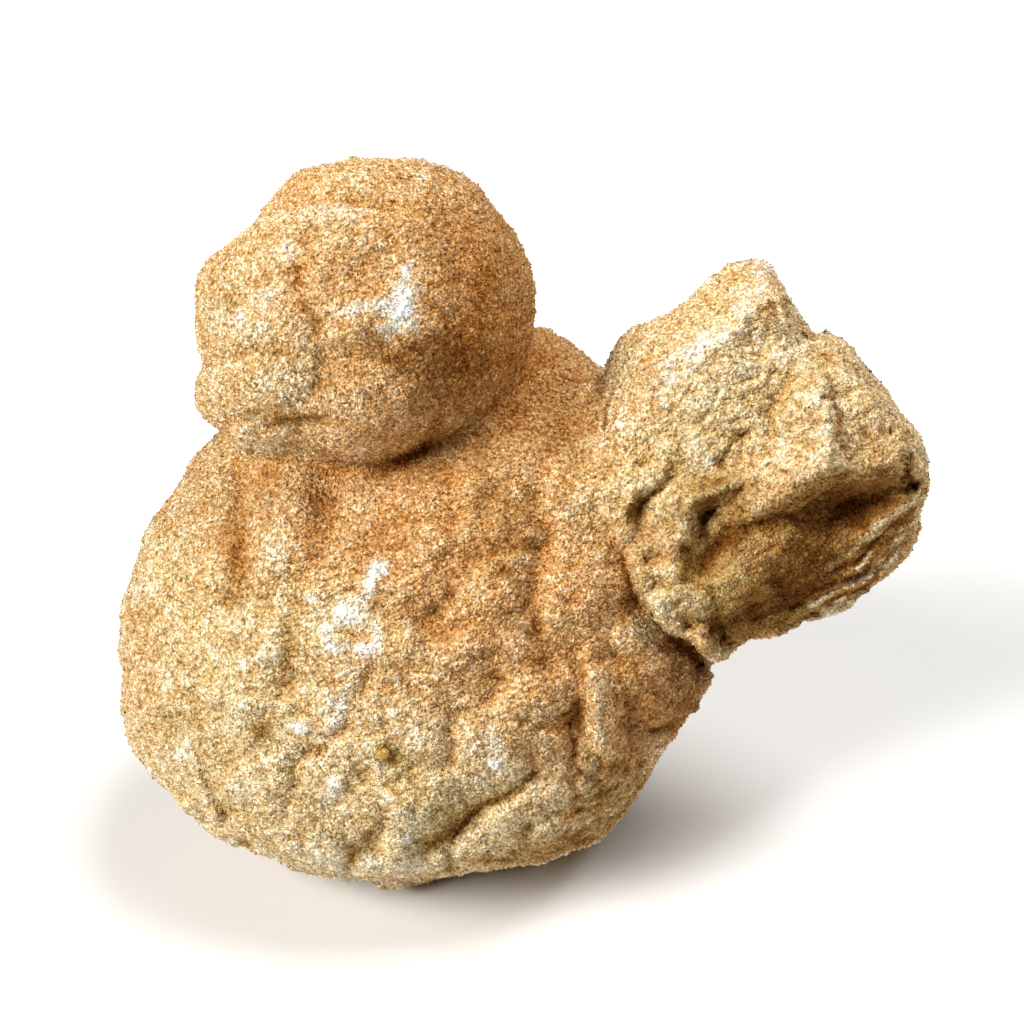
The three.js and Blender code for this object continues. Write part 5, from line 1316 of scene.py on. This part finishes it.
# ------------------------------------------------------------------ the amber grain
AMBER = ((383, 757), 6.2)


def on_skin(px, py):
    """The point of the front of the skin seen at a px of the view, and its normal."""
    d = np.hypot(xy[:, 0] - px, xy[:, 1] - py)
    ok = facing > 0.1
    idx = np.flatnonzero(ok & (d < 7))
    top = idx[np.argsort(-P[idx, 2])][:6]
    return P[top].mean(0), unit(smooth_n[top].mean(0)[None])[0]


at, nn = on_skin(*AMBER[0])
import bmesh
bm = bmesh.new()
bmesh.ops.create_icosphere(bm, subdivisions=3, radius=1.0)
v = np.array([x.co[:] for x in bm.verts])
v = v * (1 + 0.10 * noise(v * 10, 9, 77, 1)[:, None])
v = v * (1.0, 0.86, 0.9)
for x, c in zip(bm.verts, to_part(at + (nn * 0.30 * AMBER[1]) + v * AMBER[1])):
    x.co = c
am = bpy.data.meshes.new('amber_grain')
bm.to_mesh(am)
bm.free()
amber = bpy.data.objects.new('amber_grain', am)
bpy.context.scene.collection.objects.link(amber)
am.polygons.foreach_set('use_smooth', np.ones(len(am.polygons), bool))

# ------------------------------------------------------------------ materials
class Nodes:
    def __init__(self, name):
        self.mat = bpy.data.materials.new(name)
        self.mat.use_nodes = True
        self.tree = self.mat.node_tree
        self.tree.nodes.clear()
        self.out = self.add('ShaderNodeOutputMaterial')
        self.bsdf = self.add('ShaderNodeBsdfPrincipled')
        self.link(self.bsdf, 0, self.out, 0)

    def add(self, kind, **props):
        n = self.tree.nodes.new(kind)
        for k, v in props.items():
            setattr(n, k, v)
        return n

    def link(self, a, i, b, j):
        self.tree.links.new(a.outputs[i], b.inputs[j])

    def attribute(self, name):
        n = self.add('ShaderNodeAttribute', attribute_type='GEOMETRY', attribute_name=name)
        return n

    def maths(self, op, a, b=None, clamp=False):
        n = self.add('ShaderNodeMath', operation=op, use_clamp=clamp)
        for i, x in enumerate((a, b)):
            if x is None:
                continue
            if isinstance(x, (int, float)):
                n.inputs[i].default_value = x
            else:
                self.tree.links.new(x, n.inputs[i])
        return n.outputs[0]

    def ramp(self, value, stops):
        n = self.add('ShaderNodeValToRGB')
        el = n.color_ramp.elements
        while len(el) < len(stops):
            el.new(0.5)
        for e, (pos, col) in zip(el, stops):
            e.position = pos
            e.color = (*col, 1) if len(col) == 3 else col
        self.tree.links.new(value, n.inputs[0])
        return n.outputs[0]

    def mix(self, factor, a, b, how='MIX'):
        n = self.add('ShaderNodeMix', data_type='RGBA', blend_type=how)
        for sock, x in ((n.inputs[0], factor), (n.inputs[6], a), (n.inputs[7], b)):
            if isinstance(x, (int, float)):
                sock.default_value = x
            elif isinstance(x, tuple):
                sock.default_value = (*x, 1)
            else:
                self.tree.links.new(x, sock)
        return n.outputs[2]


ORANGE = (0.70, 0.42, 0.185)
DEEP = (0.57, 0.26, 0.07)
CREAM = (0.765, 0.60, 0.345)
CHALK = (0.87, 0.82, 0.70)
SHADE_TINT = (0.30, 0.185, 0.058)      # the tint that the painted shade of the marks gives the colour
GAP_SHADE = (0.42, 0.19, 0.042)     # and the tint of the painted shade in the gap between two grains


def sand(name, loose):
    m = Nodes(name)
    coord = m.add('ShaderNodeTexCoord')
    cream_a, white_a, hollow_a, painted_shade_a, rough_a = (m.attribute(k).outputs['Fac'] for k in ('cream', 'white', 'hollow', 'dark', 'rough'))
    # mottling at the scale of a few grains
    mott = m.add('ShaderNodeTexNoise')
    mott.inputs['Scale'].default_value = 620
    mott.inputs['Detail'].default_value = 3
    mott.inputs['Roughness'].default_value = 0.6
    m.link(coord, 3, mott, 'Vector')
    broad = m.add('ShaderNodeTexNoise')
    broad.inputs['Scale'].default_value = 110
    broad.inputs['Detail'].default_value = 4
    m.link(coord, 3, broad, 'Vector')
    grain = m.add('ShaderNodeTexVoronoi', feature='F1')
    grain.inputs['Scale'].default_value = 1900
    m.link(coord, 3, grain, 'Vector')
    cream_f = m.maths('ADD', cream_a, m.maths('MULTIPLY', m.maths('SUBTRACT', broad.outputs[0], 0.5), 0.5))
    # painted shade: hollows turn more orange
    cream_f = m.maths('SUBTRACT', cream_f, m.maths('MULTIPLY', hollow_a, 0.10), clamp=True)
    base = m.ramp(cream_f, [(0.0, DEEP), (0.38, ORANGE), (0.85, CREAM)])
    # each grain a little lighter or darker than the next
    if loose:
        tone = m.attribute('tone').outputs['Fac']
        shade = m.maths('MULTIPLY_ADD', tone, 0.11)
        shade.node.inputs[2].default_value = 1.10
        pale = m.maths('GREATER_THAN', tone, 1.3)
        dark = m.maths('LESS_THAN', tone, -1.75)
        base = m.mix(m.maths('MULTIPLY', pale, 0.22), base, (0.80, 0.66, 0.42))
        base = m.mix(m.maths('MULTIPLY', dark, 0.28), base, (0.34, 0.15, 0.055))
    else:
        sep = m.add('ShaderNodeSeparateColor')
        m.link(grain, 'Color', sep, 0)
        shade = m.maths('MULTIPLY_ADD', sep.outputs[0], 0.35)
        shade.node.inputs[2].default_value = 0.60
    chalk_f = m.maths('MULTIPLY', white_a, m.maths('ADD', 0.62, m.maths('MULTIPLY', mott.outputs[0], 0.62)), clamp=True)
    base = m.mix(chalk_f, base, CHALK)
    pebble = m.add('ShaderNodeTexVoronoi', feature='F1')
    pebble.inputs['Scale'].default_value = 2700
    m.link(coord, 3, pebble, 'Vector')
    gap = m.add('ShaderNodeMapRange', interpolation_type='SMOOTHSTEP')
    m.tree.links.new(pebble.outputs['Distance'], gap.inputs[0])
    gap.inputs[1].default_value = 0.42
    gap.inputs[2].default_value = 0.86
    sep_p = m.add('ShaderNodeSeparateColor')
    m.link(pebble, 'Color', sep_p, 0)
    # painted shade: the gaps between grains are painted darker and browner, over each grain's own random tone
    shade_and_tone = m.maths('ADD', m.maths('MULTIPLY', gap.outputs[0], 0.34), m.maths('MULTIPLY', m.maths('SUBTRACT', sep_p.outputs[0], 0.57), 0.30))
    # crumbs of a few grains stuck together, with painted shade in the gaps between them
    crumb = m.add('ShaderNodeTexVoronoi', feature='F1')
    crumb.inputs['Scale'].default_value = 1350
    m.link(coord, 3, crumb, 'Vector')
    seat = m.add('ShaderNodeMapRange', interpolation_type='SMOOTHSTEP')
    m.tree.links.new(crumb.outputs['Distance'], seat.inputs[0])
    seat.inputs[1].default_value = 0.40
    seat.inputs[2].default_value = 0.80
    sep_c = m.add('ShaderNodeSeparateColor')
    m.link(crumb, 'Color', sep_c, 0)
    shade_and_tone = m.maths('ADD', shade_and_tone, m.maths('ADD', m.maths('MULTIPLY', seat.outputs[0], 0.15), m.maths('MULTIPLY', m.maths('SUBTRACT', sep_c.outputs[0], 0.6), 0.13)))
    shade_and_tone = m.maths('MULTIPLY', shade_and_tone, m.maths('SUBTRACT', 1.55, m.maths('MULTIPLY', rough_a, 0.70)))
    shade_and_tone = m.maths('MULTIPLY', shade_and_tone, m.maths('SUBTRACT', 1.0, m.maths('MULTIPLY', chalk_f, 0.75)))
    # painted shade in the hollows, a little painted light on the bumps
    shade_and_tone = m.maths('ADD', shade_and_tone, m.maths('MULTIPLY', m.maths('MAXIMUM', hollow_a, -0.25), 0.32))
    clump = m.add('ShaderNodeTexNoise')
    clump.inputs['Scale'].default_value = 230
    clump.inputs['Detail'].default_value = 4
    clump.inputs['Roughness'].default_value = 0.65
    m.link(coord, 3, clump, 'Vector')
    shade_and_tone = m.maths('ADD', shade_and_tone, m.maths('MULTIPLY', m.maths('SUBTRACT', clump.outputs[0], 0.5), 0.7))
    # first tint: painted shade in the gaps and hollows with the grains' own random tone; second tint: the painted shade
    # of the marks
    for what, power in ((GAP_SHADE, shade_and_tone), (SHADE_TINT, painted_shade_a)):
        veil = m.add('ShaderNodeGamma')
        veil.inputs[0].default_value = (*what, 1)
        m.tree.links.new(power, veil.inputs[1])
        base = m.mix(1.0, base, veil.outputs[0], 'MULTIPLY')
    grey = m.add('ShaderNodeCombineColor')
    for i in range(3):
        m.tree.links.new(shade, grey.inputs[i])
    base = m.mix(1.0, base, grey.outputs[0], 'MULTIPLY')
    m.tree.links.new(base, m.bsdf.inputs['Base Color'])
    rough = m.maths('MULTIPLY_ADD', mott.outputs[0], 0.16)
    rough.node.inputs[2].default_value = 0.80
    m.tree.links.new(rough, m.bsdf.inputs['Roughness'])
    m.bsdf.inputs['Specular IOR Level'].default_value = 0.15
    folds = m.add('ShaderNodeTexNoise', noise_type='RIDGED_MULTIFRACTAL')
    folds.inputs['Scale'].default_value = 900
    folds.inputs['Detail'].default_value = 2.5
    folds.inputs['Roughness'].default_value = 0.62
    m.link(coord, 3, folds, 'Vector')
    high = m.maths('MULTIPLY', folds.outputs[0], m.maths('MULTIPLY', m.maths('MULTIPLY', rough_a, rough_a), 0.8))
    round_p = m.maths('MULTIPLY', pebble.outputs['Distance'], pebble.outputs['Distance'])
    high = m.maths('SUBTRACT', high, m.maths('MULTIPLY', round_p, 1.2))
    high = m.maths('SUBTRACT', high, m.maths('MULTIPLY', m.maths('MULTIPLY', crumb.outputs['Distance'], crumb.outputs['Distance']), 2.0))
    bump = m.add('ShaderNodeBump')
    bump.inputs['Strength'].default_value = 1.0
    bump.inputs['Distance'].default_value = 0.00022 if loose else 0.00036
    m.tree.links.new(high, bump.inputs['Height'])
    m.tree.links.new(bump.outputs[0], m.bsdf.inputs['Normal'])
    return m.mat


skin.data.materials.append(sand('sandstone_skin', False))
loose = sand('sandstone_grains', True)
for ob in coats:
    ob.data.materials.append(loose)

m = Nodes('amber_quartz')
coord = m.add('ShaderNodeTexCoord')
cloud = m.add('ShaderNodeTexNoise')
cloud.inputs['Scale'].default_value = 1500
m.link(coord, 3, cloud, 'Vector')
m.tree.links.new(m.ramp(cloud.outputs[0], [(0.3, (0.62, 0.33, 0.03)), (0.7, (0.86, 0.58, 0.12))]), m.bsdf.inputs['Base Color'])
m.bsdf.inputs['Roughness'].default_value = 0.22
m.bsdf.inputs['Transmission Weight'].default_value = 0.55
m.bsdf.inputs['IOR'].default_value = 1.54
amber.data.materials.append(m.mat)

for ob in [skin, amber] + coats:
    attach(ob, 'root')
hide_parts('stromatolite')

# ------------------------------------------------------------------ stage
def view_point(p):
    return to_part(np.array([p], float))[0]


cam_data = bpy.data.cameras.new('camera')
cam_data.lens = 60
cam_data.sensor_width = 36
cam_data.clip_start = 0.01
cam = bpy.data.objects.new('camera', cam_data)
bpy.context.scene.collection.objects.link(cam)
right = np.array([1.0, 0, 0])
up_w = turn_part(np.array([[0, 1.0, 0]]))[0]
back_w = turn_part(np.array([[0, 0, 1.0]]))[0]
where = view_point((0, 0, VIEW_PX))
rot = Matrix(((right[0], up_w[0], back_w[0], where[0]), (right[1], up_w[1], back_w[1], where[1]), (right[2], up_w[2], back_w[2], where[2]), (0, 0, 0, 1)))
cam.matrix_world = rot
bpy.context.scene.camera = cam

floor = mesh_object('floor', np.array([(-3, -3, 0), (3, -3, 0), (3, 3, 0), (-3, 3, 0)], float), np.array([(0, 1, 2, 3)]))
fm = Nodes('pale_floor')
fm.bsdf.inputs['Base Color'].default_value = (0.86, 0.86, 0.86, 1)
fm.bsdf.inputs['Roughness'].default_value = 0.9
floor.data.materials.append(fm.mat)


def lamp(name, toward, distance, size, power, colour=(1, 1, 1)):
    """A soft square lamp; toward is the direction it shines from, in the view's frame."""
    d = turn_part(unit(np.array([toward], float)))[0]
    data = bpy.data.lights.new(name, 'AREA')
    data.shape = 'SQUARE'
    data.size = size
    data.energy = power
    data.color = colour
    ob = bpy.data.objects.new(name, data)
    bpy.context.scene.collection.objects.link(ob)
    centre = np.array([0, 0, 0.05])
    ob.location = centre + d * distance
    from mathutils import Vector
    ob.rotation_euler = Vector(d).to_track_quat('Z', 'Y').to_euler()


lamp('key', (-0.67, 0.29, 0.69), 3.0, 1.3, 124.0, (1.0, 0.985, 0.95))
lamp('top', (0.38, 0.82, 0.43), 3.0, 1.6, 94.0, (1.0, 0.99, 0.97))
world = bpy.data.worlds.new('room')
world.use_nodes = True
world.node_tree.nodes['Background'].inputs[0].default_value = (1, 1, 1, 1)
world.node_tree.nodes['Background'].inputs[1].default_value = 0.05
# the room's wall is seen pale, but lights the stone only a little
wall = world.node_tree.nodes.new('ShaderNodeBackground')
wall.inputs[0].default_value = (0.93, 0.92, 0.91, 1)
wall.inputs[1].default_value = 1.0
path = world.node_tree.nodes.new('ShaderNodeLightPath')
either = world.node_tree.nodes.new('ShaderNodeMixShader')
world.node_tree.links.new(path.outputs['Is Camera Ray'], either.inputs[0])
world.node_tree.links.new(world.node_tree.nodes['Background'].outputs[0], either.inputs[1])
world.node_tree.links.new(wall.outputs[0], either.inputs[2])
world.node_tree.links.new(either.outputs[0], world.node_tree.nodes['World Output'].inputs[0])
bpy.context.scene.world = world
bpy.context.scene.view_settings.view_transform = 'Standard'
bpy.context.scene.view_settings.look = 'None'

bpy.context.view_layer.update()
say('done')
